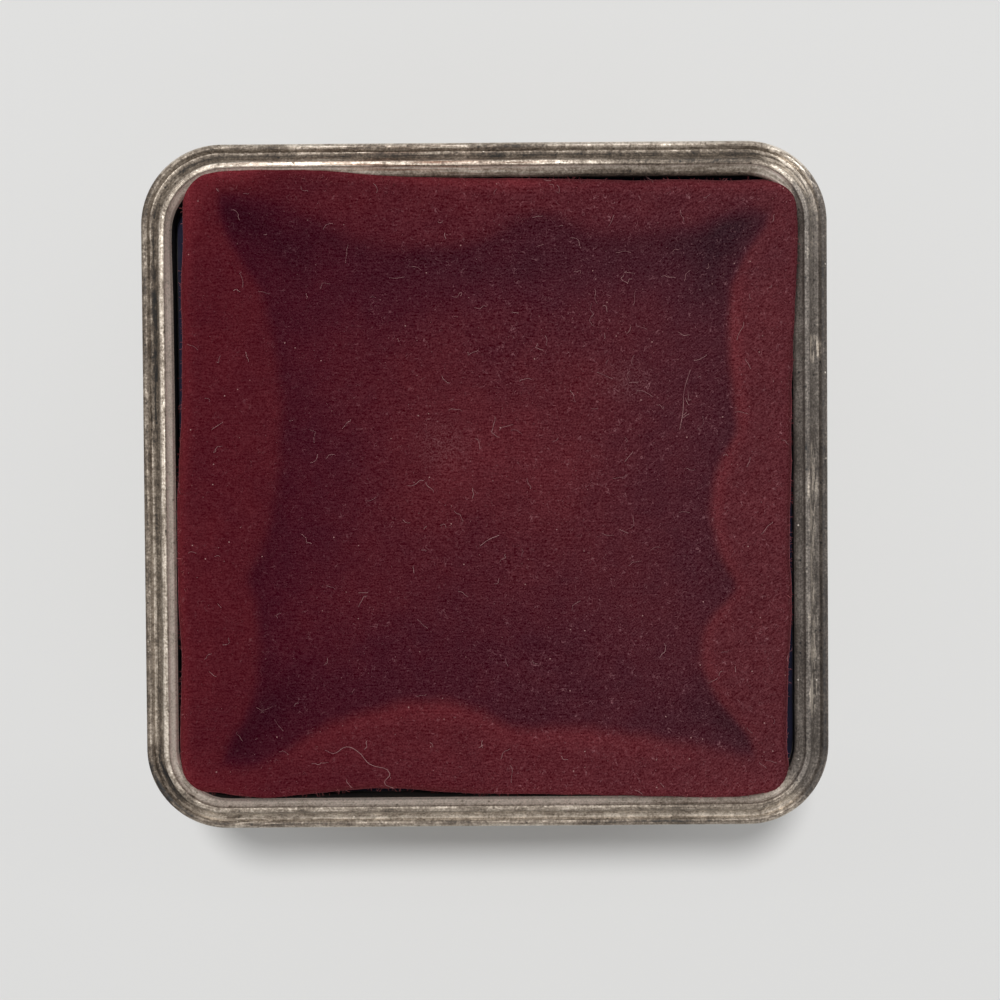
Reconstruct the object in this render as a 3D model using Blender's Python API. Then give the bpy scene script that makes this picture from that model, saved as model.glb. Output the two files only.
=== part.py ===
"""Small square keepsake box in worn silver plate, with a velvet panel set in its lid.

Metres, +Z up. The origin lies on the resting plane under the middle of the box, and the
hinge is towards +Y. Lid and foot share one stepped moulding, turned over for the foot.
"""

import math

import bmesh
import bpy
from mathutils import Vector

MM = 0.001

# Whole box
OUTLINE_WIDTH = 63.5 * MM  # over the beads of lid and foot, the same both ways
OUTLINE_RADIUS = 7.5 * MM  # plan corner at the beads
TOTAL_HEIGHT = 36.0 * MM
SEAT_GAP = 0.25 * MM  # between pieces that rest on each other or are fixed together
OVERHANG = 2.1 * MM  # beads stand out past the walls by this much
LEAST_CORNER = 0.8 * MM  # plan corners get no tighter than this further in

# Stepped moulding, from its bead in to the recess that holds the velvet
BEAD_RADIUS = 0.30 * MM
COVE_WIDTH = 0.90 * MM
COVE_TOP_DROP = 0.32 * MM  # ridge top down to the head of the cove
RIDGE_WIDTH = 0.45 * MM
RIDGE_EDGE = 0.10 * MM  # rounding on both edges of the ridge
SLOPE_WIDTH = 0.75 * MM
SLOPE_DEPTH = 2.3 * MM
BEAD_DROP = 1.5 * MM  # ridge top down to the bead's middle
UNDERCUT_HEIGHT = 1.7 * MM  # hollow below the bead, down to the plain wall

# Sheet metal
WALL = 1.2 * MM
BODY_FLOOR = 0.8 * MM
FOOT_COLLAR = 1.0 * MM  # plain wall of the foot above its moulding
FOOT_WEB = 0.6 * MM
FOOT_WEB_REACH = 1.3 * MM  # how far the foot's inner web reaches under the body
LIP_THICKNESS = 0.7 * MM
LIP_RISE = 1.6 * MM  # stands up into the lid
LIP_DEPTH = 5.0 * MM  # goes down inside the wall
LIP_CLEARANCE = 0.3 * MM  # lid skirt to lip
LID_SKIRT = 4.0 * MM  # plain wall of the lid below its moulding
LID_PLATE = 0.6 * MM

# Card, wadding and velvet
BOARD = 0.8 * MM
WADDING = 1.0 * MM
VELVET = 0.6 * MM
PAD_DROP = 0.7 * MM  # ridge top down to the panel's crown
PAD_CLEARANCE = 0.3 * MM  # recess wall to the panel's widest part
PAD_TUCK = 0.12 * MM  # the cloth draws in towards the board's back
PAD_EDGE = 0.8 * MM  # rounding where the cloth turns over the board
DISH = 0.55 * MM  # the middle of a panel lies this much below its crown
LINING_WADDING = 0.5 * MM  # the lid's lining is thinner
LINING_DISH = 0.3 * MM
SIDE_CARD = 0.5 * MM
SIDE_VELVET = 1.2 * MM
SIDE_DROP = 0.8 * MM  # body's mouth down to the top of the side lining
SIDE_ROLL = 0.6 * MM  # velvet rolled over the card's top edge
LID_LINING_MARGIN = 0.8 * MM  # lip to the lid's lining, which swings past it

# Hinge
HINGE_LENGTH = 36.0 * MM
KNUCKLES = 5  # first, third and last on the body, the two between on the lid
KNUCKLE_RADIUS = 0.8 * MM
KNUCKLE_PLAY = 0.2 * MM
HINGE_STANDOFF = 0.25 * MM
LEAF = 0.35 * MM
LEAF_MARGIN = 0.3 * MM  # lid moulding to the end of the leaf
NOTCH_REACH = 0.5 * MM  # leaf cut back this far past the other leaf's knuckles
PIN_RADIUS = 0.35 * MM
PIN_PLAY = 0.08 * MM
PIN_PROUD = 0.15 * MM
OPEN_ANGLE = 98.0  # degrees, where the lid's heels meet the body's back wall
HEEL_PLAY = 0.08 * MM
HEEL_TOP = 0.15 * MM
HEEL_HEIGHT = 0.4 * MM
CUT_OVERRUN = 1.0 * MM

# Fineness of the curves
CORNER_STEPS = 6
PAD_SIDE_STEPS = 5
CAVETTO_STEPS = 4
BEAD_STEPS = 6
COVE_STEPS = 4
RIDGE_STEPS = 2
PAD_EDGE_STEPS = 2
ROUND_STEPS = 16
SMOOTH_ANGLE = 35.0

# Rings of a panel's face: place and inward bow as shares of its half width, drop as share of the dish
DISH_SHARES = ((0.076, 0.010, 0.0), (0.125, 0.076, 0.4), (0.18, 0.146, 0.85), (0.42, 0.10, 1.0))

# Places that follow from the sizes above
HALF = OUTLINE_WIDTH / 2
RIDGE_OUTSIDE = 2 * BEAD_RADIUS + COVE_WIDTH
RIDGE_INSIDE = RIDGE_OUTSIDE + RIDGE_WIDTH
RECESS = RIDGE_INSIDE + SLOPE_WIDTH
MOULDING_DEPTH = BEAD_DROP + BEAD_RADIUS + UNDERCUT_HEIGHT
PANEL_STACK = BOARD + SEAT_GAP + WADDING + SEAT_GAP + VELVET
PLATE_DEPTH = PAD_DROP + PANEL_STACK + SEAT_GAP  # ridge top down to the lid plate
LEDGE_DEPTH = PLATE_DEPTH + LID_PLATE + SEAT_GAP
LID_BOTTOM_DEPTH = MOULDING_DEPTH + LID_SKIRT
MOUTH_Z = TOTAL_HEIGHT - LID_BOTTOM_DEPTH - SEAT_GAP
FOOT_TOP = MOULDING_DEPTH + FOOT_COLLAR
FOOT_WEB_Z = FOOT_TOP - FOOT_WEB
BODY_Z = FOOT_TOP + SEAT_GAP
FLOOR_Z = BODY_Z + BODY_FLOOR + SEAT_GAP
LIP_INSET = OVERHANG + WALL + SEAT_GAP
SKIRT_INSET = LIP_INSET - LIP_CLEARANCE
SIDE_CARD_INSET = LIP_INSET + LIP_THICKNESS + SEAT_GAP
SIDE_VELVET_INSET = SIDE_CARD_INSET + SIDE_CARD + SEAT_GAP
SIDE_FACE_INSET = SIDE_VELVET_INSET + SIDE_VELVET
SIDE_CARD_TOP = MOUTH_Z - SIDE_DROP - SIDE_ROLL - SEAT_GAP
LINING_Z = TOTAL_HEIGHT - PLATE_DEPTH - LID_PLATE - SEAT_GAP
HINGE_Y = HALF - OVERHANG + HINGE_STANDOFF + KNUCKLE_RADIUS
HINGE_AXIS = Vector((0, HINGE_Y, MOUTH_Z + SEAT_GAP / 2))
LEAF_REACH = LID_SKIRT - LEAF_MARGIN
LEAF_FACE = LEAF - KNUCKLE_RADIUS  # the leaf's outer face, from the hinge axis
LEAF_START = KNUCKLE_RADIUS + NOTCH_REACH

SILVER_PLATE = ((0.60, 0.55, 0.48), 0.32, 1.0)
HINGE_METAL = ((0.52, 0.47, 0.40), 0.38, 1.0)
PIN_STEEL = ((0.42, 0.41, 0.39), 0.35, 1.0)
RED_VELVET = ((0.085, 0.011, 0.017), 0.95, 0.0)
GREY_CARD = ((0.16, 0.15, 0.14), 0.9, 0.0)
COTTON = ((0.62, 0.60, 0.55), 1.0, 0.0)


def clear_scene():
    for obj in list(bpy.data.objects):
        bpy.data.objects.remove(obj, do_unlink=True)


def finish_material(name, finish):
    colour, roughness, metallic = finish
    material = bpy.data.materials.new(name)
    material.use_nodes = True
    shader = material.node_tree.nodes["Principled BSDF"]
    shader.inputs["Base Color"].default_value = (*colour, 1)
    shader.inputs["Roughness"].default_value = roughness
    shader.inputs["Metallic"].default_value = metallic
    return material


def arc(centre, radii, start, end, steps):
    """Points of an elliptical arc, both ends included, angles in degrees."""
    turn = [math.radians(start + (end - start) * i / steps) for i in range(steps + 1)]
    return [(centre[0] + radii[0] * math.cos(a), centre[1] + radii[1] * math.sin(a)) for a in turn]


def plan_loop(inset, z, bow=0, side_steps=1):
    """A rounded square, set in from the outline, whose sides bow inwards between the corners."""
    half = HALF - inset
    radius = max(OUTLINE_RADIUS - inset, LEAST_CORNER)
    straight = half - radius
    side = arc((straight, straight), (radius, radius), 0, 90, CORNER_STEPS)
    for step in range(1, side_steps):
        along = straight * (1 - 2 * step / side_steps)
        pull = bow * (1 - (along / straight) ** 2)
        side.append((along, half - pull))
    points = []
    for quarter in range(4):
        cosine = math.cos(math.radians(90 * quarter))
        sine = math.sin(math.radians(90 * quarter))
        points += [(x * cosine - y * sine, x * sine + y * cosine, z) for x, y in side]
    return points


def solid_of_loops(loops, ring):
    """A closed skin through the loops: a ring joins its last to its first, others get flat ends."""
    form = bmesh.new()
    rows = [[form.verts.new(point) for point in loop] for loop in loops]
    pairs = list(zip(rows, rows[1:]))
    if ring:
        pairs.append((rows[-1], rows[0]))
    else:
        form.faces.new(rows[0])
        form.faces.new(rows[-1])
    for low, high in pairs:
        for i in range(len(low)):
            j = (i + 1) % len(low)
            form.faces.new((low[i], low[j], high[j], high[i]))
    bmesh.ops.recalc_face_normals(form, faces=form.faces)
    return form


def add_piece(name, form, finish, pivot=None):
    """Turns a form into a named object. A piece of the lid hangs from the pivot on the hinge axis."""
    if pivot:
        bmesh.ops.translate(form, verts=form.verts, vec=-pivot.location)
    mesh = bpy.data.meshes.new(name)
    form.to_mesh(mesh)
    form.free()
    mesh.shade_smooth()
    mesh.set_sharp_from_angle(angle=math.radians(SMOOTH_ANGLE))
    mesh.materials.append(finish_material(name, finish))
    piece = bpy.data.objects.new(name, mesh)
    bpy.context.scene.collection.objects.link(piece)
    piece.parent = pivot
    return piece


def moulding():
    """The stepped outside face as (inset, depth below the ridge top), from the wall to the recess."""
    bead = (BEAD_RADIUS, BEAD_RADIUS)
    edge = (RIDGE_EDGE, RIDGE_EDGE)
    hollow = (OVERHANG - BEAD_RADIUS, UNDERCUT_HEIGHT)
    cove = (COVE_WIDTH, BEAD_DROP - COVE_TOP_DROP)
    face = arc((BEAD_RADIUS, MOULDING_DEPTH), hollow, 0, -90, CAVETTO_STEPS)
    face += arc((BEAD_RADIUS, BEAD_DROP), bead, 90, 360, BEAD_STEPS)[1:]
    face += arc((2 * BEAD_RADIUS, COVE_TOP_DROP), cove, 90, 0, COVE_STEPS)[1:]
    face += arc((RIDGE_OUTSIDE + RIDGE_EDGE, RIDGE_EDGE), edge, 180, 270, RIDGE_STEPS)
    face += arc((RIDGE_INSIDE - RIDGE_EDGE, RIDGE_EDGE), edge, 270, 360, RIDGE_STEPS)
    face.append((RECESS, SLOPE_DEPTH))
    return face


def sweep_section(section):
    """A section of (inset, z) points carried round the rounded square."""
    return solid_of_loops([plan_loop(inset, z) for inset, z in section], ring=True)


def add_foot_rim():
    web_inside = OVERHANG + FOOT_WEB_REACH
    section = [(OVERHANG, FOOT_TOP), *moulding(), (RECESS, FOOT_WEB_Z)]
    section += [(web_inside, FOOT_WEB_Z), (web_inside, FOOT_TOP)]
    add_piece("foot_rim", sweep_section(section), SILVER_PLATE)


def add_lid_rim(pivot):
    section = [(OVERHANG, LID_BOTTOM_DEPTH), *moulding(), (RECESS, LEDGE_DEPTH)]
    section += [(SKIRT_INSET, LEDGE_DEPTH), (SKIRT_INSET, LID_BOTTOM_DEPTH)]
    raised = [(inset, TOTAL_HEIGHT - depth) for inset, depth in section]
    add_piece("lid_rim", sweep_section(raised), SILVER_PLATE, pivot)


def add_body_shell():
    inside = OVERHANG + WALL
    floor_top = BODY_Z + BODY_FLOOR
    section = [(OVERHANG, BODY_Z), (OVERHANG, MOUTH_Z), (inside, MOUTH_Z), (inside, floor_top)]
    form = solid_of_loops([plan_loop(inset, z) for inset, z in section], ring=False)
    add_piece("body_shell", form, SILVER_PLATE)


def add_slab(name, inset, low, high, finish, pivot=None):
    form = solid_of_loops([plan_loop(inset, low), plan_loop(inset, high)], ring=False)
    add_piece(name, form, finish, pivot)


def add_band(name, inset, thickness, low, high, finish):
    section = [(inset, low), (inset, high), (inset + thickness, high), (inset + thickness, low)]
    add_piece(name, sweep_section(section), finish)


def add_side_velvet():
    """Velvet over the side card's face and rolled over its top edge."""
    roll_z = SIDE_CARD_TOP + SEAT_GAP
    round_radii = (SIDE_ROLL / 2, SIDE_ROLL)
    section = [(SIDE_VELVET_INSET, FLOOR_Z), (SIDE_VELVET_INSET, roll_z), (SIDE_CARD_INSET, roll_z)]
    section += arc((SIDE_CARD_INSET + SIDE_ROLL / 2, roll_z), round_radii, 180, 90, RIDGE_STEPS)[1:]
    section += arc((SIDE_FACE_INSET - SIDE_ROLL / 2, roll_z), round_radii, 90, 0, RIDGE_STEPS)
    section.append((SIDE_FACE_INSET, FLOOR_Z))
    add_piece("side_velvet", sweep_section(section), RED_VELVET)


def dished_rings(inset, level, dish):
    """Rings of a panel's face: a crown near the edge, a dish with bowed sides, and a flat middle."""
    width = HALF - inset
    return [
        (inset + place * width, level - drop * dish, bow * width)
        for place, bow, drop in DISH_SHARES
    ]


def add_panel(prefix, inset, back_z, facing, padding, pivot=None):
    """Card, wadding and velvet stacked from back_z, the way the panel faces, +1 up or -1 down."""
    wadding, dish = padding

    def add_layer(name, rings, finish):
        loops = []
        for place, level, bow in rings:
            loops.append(plan_loop(place, back_z + facing * level, bow, PAD_SIDE_STEPS))
        add_piece(prefix + name, solid_of_loops(loops, ring=False), finish, pivot)

    wadding_low = BOARD + SEAT_GAP
    wadding_high = wadding_low + wadding
    under = wadding_high + SEAT_GAP
    crown = under + VELVET
    inside = inset + VELVET
    board_inset = inside + SEAT_GAP
    board = [(board_inset, 0, 0), (board_inset, BOARD, 0)]
    filling = [(board_inset, wadding_low, 0), *dished_rings(board_inset, wadding_high, dish)]
    edge_centre = (inset + PAD_EDGE, crown - PAD_EDGE)
    edge = arc(edge_centre, (PAD_EDGE, PAD_EDGE), 180, 90, PAD_EDGE_STEPS)
    cloth = [(inset + PAD_TUCK, 0, 0), *[(place, level, 0) for place, level in edge]]
    cloth += dished_rings(inset, crown, dish)
    hollow = [(inside, 0, 0), (inside, under - PAD_EDGE / 2, 0), *dished_rings(inside, under, dish)]
    add_layer("_board", board, GREY_CARD)
    add_layer("_wadding", filling, COTTON)
    add_layer("_velvet", [*reversed(cloth), *hollow], RED_VELVET)


def prism(outline, start, end):
    """An outline in Y and Z about the hinge axis, drawn out along X."""
    loops = []
    for x in (start, end):
        loops.append([(x, HINGE_AXIS.y + y, HINGE_AXIS.z + z) for y, z in outline])
    return solid_of_loops(loops, ring=False)


def knuckle_arc(start, end, steps):
    return arc((0, 0), (KNUCKLE_RADIUS, KNUCKLE_RADIUS), start, end, steps)


def leaf_junction():
    """Angle on the knuckle, in degrees, between its tangent to the wall and the leaf's outer face."""
    return math.degrees(math.acos(-LEAF_FACE / KNUCKLE_RADIUS))


def leaf_outline():
    """A leaf that hangs down from the side of its knuckle, as (y, z) about the hinge axis."""
    outline = [(-KNUCKLE_RADIUS, -LEAF_REACH), (LEAF_FACE, -LEAF_REACH)]
    outline += knuckle_arc(leaf_junction() - 180, 180, ROUND_STEPS)
    return outline


def heel_corners():
    """The two corners of the lid's heel at rest, which lie against the back wall when it is open."""
    wall = HINGE_STANDOFF + KNUCKLE_RADIUS - HEEL_PLAY
    turn = math.radians(OPEN_ANGLE)
    corners = []
    for drop in (HEEL_TOP, HEEL_TOP + HEEL_HEIGHT):
        y = -wall * math.cos(turn) + drop * math.sin(turn)
        z = -wall * math.sin(turn) - drop * math.cos(turn)
        corners.append((y, z))
    return corners


def tangent_angle(point, side):
    """Where on the knuckle, in degrees, a line from the point touches it, on either side, +1 or -1."""
    turn = math.acos(KNUCKLE_RADIUS / math.hypot(*point))
    return math.degrees(math.atan2(point[1], point[0]) + side * turn)


def heeled_leaf_outline():
    """The lid's leaf stands up from its knuckle, which has a heel below that stops the lid."""
    first, last = heel_corners()
    onto_heel = tangent_angle(first, -1)
    off_heel = tangent_angle(last, 1)
    outline = [(LEAF_FACE, LEAF_REACH), (-KNUCKLE_RADIUS, LEAF_REACH)]
    outline += knuckle_arc(-180, onto_heel, ROUND_STEPS // 4)
    outline += [first, last]
    outline += knuckle_arc(off_heel, 180 - leaf_junction(), ROUND_STEPS // 2)
    return outline


def knuckle_centre(index):
    return (index + 0.5) * HINGE_LENGTH / KNUCKLES - HINGE_LENGTH / 2


def add_cutter(name, forms, pivot):
    joined = bmesh.new()
    for form in forms:
        part = bpy.data.meshes.new(name)
        form.to_mesh(part)
        form.free()
        joined.from_mesh(part)
        bpy.data.meshes.remove(part)
    cutter = add_piece(name, joined, PIN_STEEL, pivot)
    cutter.hide_render = True
    cutter.display_type = "WIRE"
    return cutter


def cut(piece, cutter):
    modifier = piece.modifiers.new(cutter.name, "BOOLEAN")
    modifier.operation = "DIFFERENCE"
    modifier.solver = "EXACT"
    modifier.object = cutter


def add_leaf(name, outline, clear, leaf_side, pivot=None):
    """A full-length leaf, bored for the pin and notched where the other leaf's knuckles turn."""
    end = HINGE_LENGTH / 2
    leaf = add_piece(name, prism(outline, -end, end), HINGE_METAL, pivot)
    bore_radius = PIN_RADIUS + PIN_PLAY
    bore = arc((0, 0), (bore_radius, bore_radius), 0, 360, ROUND_STEPS)[:-1]
    reach = end + CUT_OVERRUN
    cut(leaf, add_cutter(name + "_bore_cutter", [prism(bore, -reach, reach)], pivot))
    width = HINGE_LENGTH / KNUCKLES + KNUCKLE_PLAY
    side = KNUCKLE_RADIUS + CUT_OVERRUN
    box = [(-side, -side), (side, -side), (side, LEAF_START), (-side, LEAF_START)]
    box = [(y, z * leaf_side) for y, z in box]
    notches = [prism(box, knuckle_centre(k) - width / 2, knuckle_centre(k) + width / 2) for k in clear]
    cut(leaf, add_cutter(name + "_notch_cutter", notches, pivot))


def add_pin():
    end = HINGE_LENGTH / 2 + PIN_PROUD
    pin = arc((0, 0), (PIN_RADIUS, PIN_RADIUS), 0, 360, ROUND_STEPS)[:-1]
    add_piece("hinge_pin", prism(pin, -end, end), PIN_STEEL)


def build_body():
    add_foot_rim()
    add_body_shell()
    lip_low = MOUTH_Z - LIP_DEPTH
    add_band("mouth_lip", LIP_INSET, LIP_THICKNESS, lip_low, MOUTH_Z + LIP_RISE, SILVER_PLATE)
    add_band("side_card", SIDE_CARD_INSET, SIDE_CARD, FLOOR_Z, SIDE_CARD_TOP, GREY_CARD)
    add_side_velvet()
    add_panel("floor", SIDE_FACE_INSET + SEAT_GAP, FLOOR_Z, 1, (WADDING, DISH))
    add_panel("base", RECESS + PAD_CLEARANCE, FOOT_WEB_Z - SEAT_GAP, -1, (WADDING, DISH))
    add_leaf("body_hinge_leaf", leaf_outline(), range(1, KNUCKLES, 2), -1)
    add_pin()


def build_lid():
    pivot = bpy.data.objects.new("lid_pivot", None)
    pivot.location = HINGE_AXIS
    bpy.context.scene.collection.objects.link(pivot)
    add_lid_rim(pivot)
    plate_high = TOTAL_HEIGHT - PLATE_DEPTH
    add_slab("lid_plate", RECESS + SEAT_GAP, plate_high - LID_PLATE, plate_high, SILVER_PLATE, pivot)
    add_panel("lid_top", RECESS + PAD_CLEARANCE, plate_high + SEAT_GAP, 1, (WADDING, DISH), pivot)
    lining_inset = LIP_INSET + LIP_THICKNESS + LID_LINING_MARGIN
    add_panel("lid_lining", lining_inset, LINING_Z, -1, (LINING_WADDING, LINING_DISH), pivot)
    add_leaf("lid_hinge_leaf", heeled_leaf_outline(), range(0, KNUCKLES, 2), 1, pivot)


clear_scene()
build_body()
build_lid()
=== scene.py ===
import math

import bmesh
import bpy
import numpy as np
from mathutils import Matrix, Vector, noise


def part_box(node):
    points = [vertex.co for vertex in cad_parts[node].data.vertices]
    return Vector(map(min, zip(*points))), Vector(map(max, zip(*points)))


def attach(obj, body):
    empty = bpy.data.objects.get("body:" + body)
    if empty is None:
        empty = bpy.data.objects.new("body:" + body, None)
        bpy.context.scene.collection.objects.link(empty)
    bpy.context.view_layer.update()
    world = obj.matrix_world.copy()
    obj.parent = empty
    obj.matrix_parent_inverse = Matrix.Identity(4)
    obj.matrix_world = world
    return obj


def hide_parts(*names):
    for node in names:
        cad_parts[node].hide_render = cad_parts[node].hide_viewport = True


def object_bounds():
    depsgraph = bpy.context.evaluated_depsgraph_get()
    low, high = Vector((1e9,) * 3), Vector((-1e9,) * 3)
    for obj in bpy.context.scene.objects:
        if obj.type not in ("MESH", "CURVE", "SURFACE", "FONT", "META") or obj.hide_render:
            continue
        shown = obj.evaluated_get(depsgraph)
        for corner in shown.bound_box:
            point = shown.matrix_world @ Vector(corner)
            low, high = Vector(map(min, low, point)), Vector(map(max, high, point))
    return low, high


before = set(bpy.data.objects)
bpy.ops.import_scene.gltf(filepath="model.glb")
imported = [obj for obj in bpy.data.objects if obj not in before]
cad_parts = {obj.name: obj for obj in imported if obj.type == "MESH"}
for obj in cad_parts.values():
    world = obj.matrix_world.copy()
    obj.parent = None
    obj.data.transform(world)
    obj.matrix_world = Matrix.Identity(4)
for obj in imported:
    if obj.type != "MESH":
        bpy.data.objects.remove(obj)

# Keepsake box in worn silver plate, with wine-red velvet panels in the lid, the foot and the inside.
# Sizes are metres, written as a number times mm, except where a note says millimetres. Places follow
# from the frame's own boxes.

mm = 0.001
sides = ("left", "right", "back", "front")
cadLow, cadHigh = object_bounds()
print("frame loaded,", len(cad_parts), "nodes")

outline = {
    "half": cadHigh.x,
    "corner": 7.5 * mm,  # plan corner at the beads
    "overhang": 2.1 * mm,  # beads stand out past the walls
    "step": 0.55 * mm,  # length of the rings' faces
    "ripple": 14 * mm,  # unevenness of the rings
    "blend": 1.6 * mm,  # how softly the look of one side turns into the next
    "gap": 0.25 * mm,  # glue line under the panels
}


def smooth(low, high, value):
    share = np.clip((value - low) / (high - low), 0, 1)
    return share * share * (3 - 2 * share)


def arc(x, y, radius, start, end, steps, tall=None):
    turns = np.radians(np.linspace(start, end, steps + 1))
    return [(x + radius * math.cos(a), y + (tall or radius) * math.sin(a)) for a in turns]


def addObject(name, mesh, material=None):
    piece = bpy.data.objects.new(name, mesh)
    bpy.context.scene.collection.objects.link(piece)
    if material:
        mesh.materials.clear()
        mesh.materials.append(material)
    return piece


def settle(piece, body, slot, *nodes):  # what every finished piece needs
    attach(piece, body)
    if nodes:
        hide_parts(*nodes)


def editMesh(mesh, change):
    tidy = bmesh.new()
    tidy.from_mesh(mesh)
    change(tidy)
    tidy.to_mesh(mesh)
    tidy.free()


def faceOut(mesh):
    editMesh(mesh, lambda tidy: bmesh.ops.recalc_face_normals(tidy, faces=tidy.faces))


def makeMesh(name, points, faces):
    mesh = bpy.data.meshes.new(name)
    mesh.from_pydata(points, [], faces)
    faceOut(mesh)
    return mesh


def soften(mesh, angle):
    mesh.shade_smooth()
    mesh.set_sharp_from_angle(angle=math.radians(angle))


def storeValues(mesh, key, values):  # one number at each point
    mesh.attributes.new(key, "FLOAT", "POINT").data.foreach_set("value", np.array(values, np.float32))


def evaluated(name, holder):  # what an object is with its modifiers, as a mesh of its own
    graph = bpy.context.evaluated_depsgraph_get()
    mesh = bpy.data.meshes.new_from_object(holder.evaluated_get(graph), depsgraph=graph)
    mesh.name = name
    return mesh


class Nodes:  # makes and links the nodes of one tree
    def __init__(self, tree):
        self.tree = tree

    def node(self, kind, inputs=None, **settings):
        made = self.tree.nodes.new(kind)
        for name, value in settings.items():
            setattr(made, name, value)
        self.feed(made, inputs or {})
        return made

    def feed(self, node, inputs):
        for key, value in inputs.items():
            if isinstance(value, bpy.types.NodeSocket):
                self.tree.links.new(value, node.inputs[key])
            else:
                node.inputs[key].default_value = value

    def add(self, kind, inputs=None, out=0, **settings):
        return self.node("ShaderNode" + kind, inputs, **settings).outputs[out]

    def geo(self, kind, inputs=None, out=0, **settings):
        return self.node("GeometryNode" + kind, inputs, **settings).outputs[out]

    def math(self, operation, first, second=0.5, third=0.0, clamp=False):
        return self.add("Math", {0: first, 1: second, 2: third}, operation=operation, use_clamp=clamp)

    def times(self, first, second):
        return self.math("MULTIPLY", first, second)

    def timesPlus(self, first, second, third, clamp=False):
        return self.math("MULTIPLY_ADD", first, second, third, clamp)

    def vector(self, operation, first, second):
        return self.add("VectorMath", {0: first, 1: second}, operation=operation)

    def scaled(self, vector, amount):
        return self.add("VectorMath", {0: vector, "Scale": amount}, operation="SCALE")

    def axis(self, place, index):
        return self.add("SeparateXYZ", {0: place}, index)

    def mix(self, share, first, second, blend="MIX"):
        return self.add("Mix", {0: share, 6: first, 7: second}, 2, data_type="RGBA", blend_type=blend,
                        clamp_factor=True)

    def floatMix(self, share, first, second):
        return self.add("Mix", {0: share, 2: first, 3: second}, data_type="FLOAT")

    def ramp(self, value, stops):
        node = self.node("ShaderNodeValToRGB", {0: value})
        ramp = node.color_ramp
        while len(ramp.elements) < len(stops):
            ramp.elements.new(0.5)
        for element, (place, colour) in zip(ramp.elements, sorted(stops, key=lambda stop: stop[0])):
            element.position = place
            element.color = (*colour, 1) if isinstance(colour, tuple) else (colour, colour, colour, 1)
        return node.outputs[0]

    def remap(self, value, low, high, newLow=0.0, newHigh=1.0):
        return self.add("MapRange", {0: value, 1: low, 2: high, 3: newLow, 4: newHigh})

    def stretch(self, place, scale, shift=(0, 0, 0)):
        return self.add("Mapping", {"Vector": place, "Scale": scale, "Location": shift})

    def noise(self, place, size, detail=3.0, roughness=0.55, distortion=0.0):
        return self.add("TexNoise", {"Vector": place, "Scale": 1 / size, "Detail": detail,
                                     "Roughness": roughness, "Distortion": distortion})

    def drawnOut(self, place, sizes, *detail):  # noise with its own size along each way
        return self.noise(self.stretch(place, tuple(1 / size for size in sizes)), 1.0, *detail)

    def swing(self, base, value, amount):  # base plus the value's swing about a half
        return self.timesPlus(self.math("SUBTRACT", value, 0.5), amount, base)

    def grains(self, place, cell, share, size):  # small separate grains in a share of the cells
        cells = self.node("ShaderNodeTexVoronoi", {"Vector": place, "Scale": 1 / cell})
        chosen = self.add("SeparateColor", {0: cells.outputs["Color"]})
        near = self.remap(cells.outputs["Distance"], size, size * 0.5)
        return self.times(self.math("LESS_THAN", chosen, share), near)

    def strands(self, place, curl, width):  # short curly lines, from a noise's level lines in patches
        field = self.math("SUBTRACT", self.noise(place, curl, 1.0, 0.5, 0.5), 0.5)
        line = self.remap(self.math("ABSOLUTE", field), 0.0, width, 1.0, 0.0)
        patch = self.noise(self.stretch(place, (1 / curl,) * 3, (7, 3, 5)), 1 / 0.9, 2.0, 0.6)
        return self.times(line, self.remap(patch, 0.54, 0.66))

    def spot(self, place, centre, reach):  # 1 in the middle of a soft oval in millimetres, 0 outside it
        shares = tuple(1 / (size * mm) for size in reach)
        shift = tuple(-c * mm / (size * mm) for c, size in zip(centre, reach))
        length = self.add("VectorMath", {0: self.stretch(place, shares, shift)}, "Value", operation="LENGTH")
        return self.remap(length, 1.0, 0.2)

    def side(self, place, side):  # 1 on one side of the box, 0 on the others, mixed over the corners
        parts = self.node("ShaderNodeSeparateXYZ", {0: place}).outputs
        main, other = (parts[0], parts[1]) if side in ("left", "right") else (parts[1], parts[0])
        signed = self.times(main, 1.0 if side in ("right", "back") else -1.0)
        lead = self.math("SUBTRACT", signed, self.math("ABSOLUTE", other))
        return self.remap(lead, -outline["blend"], outline["blend"])

    def bump(self, shader, height, strength, depth):
        normal = self.add("Bump", {"Height": height, "Strength": strength, "Distance": depth})
        self.feed(shader, {"Normal": normal})

    def seenDirectly(self):  # 1 for what the camera, metal and glass see, 0 for light on the object
        rays = self.node("ShaderNodeLightPath").outputs
        seen = self.math("ADD", rays["Is Camera Ray"], rays["Is Glossy Ray"])
        return self.math("ADD", seen, rays["Is Transmission Ray"], clamp=True)


def newFinish(name, roughness=0.5, metallic=0.0):
    material = bpy.data.materials.new(name)
    material.use_nodes = True
    t = Nodes(material.node_tree)
    shader = t.tree.nodes["Principled BSDF"]
    t.feed(shader, {"Roughness": roughness, "Metallic": metallic})
    return material, t, shader, t.add("TexCoord", out="Object")


# Silver plate. Tarnish from 0, rubbed bright, to 1, black, picks the colour, gloss and metal share.

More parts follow.
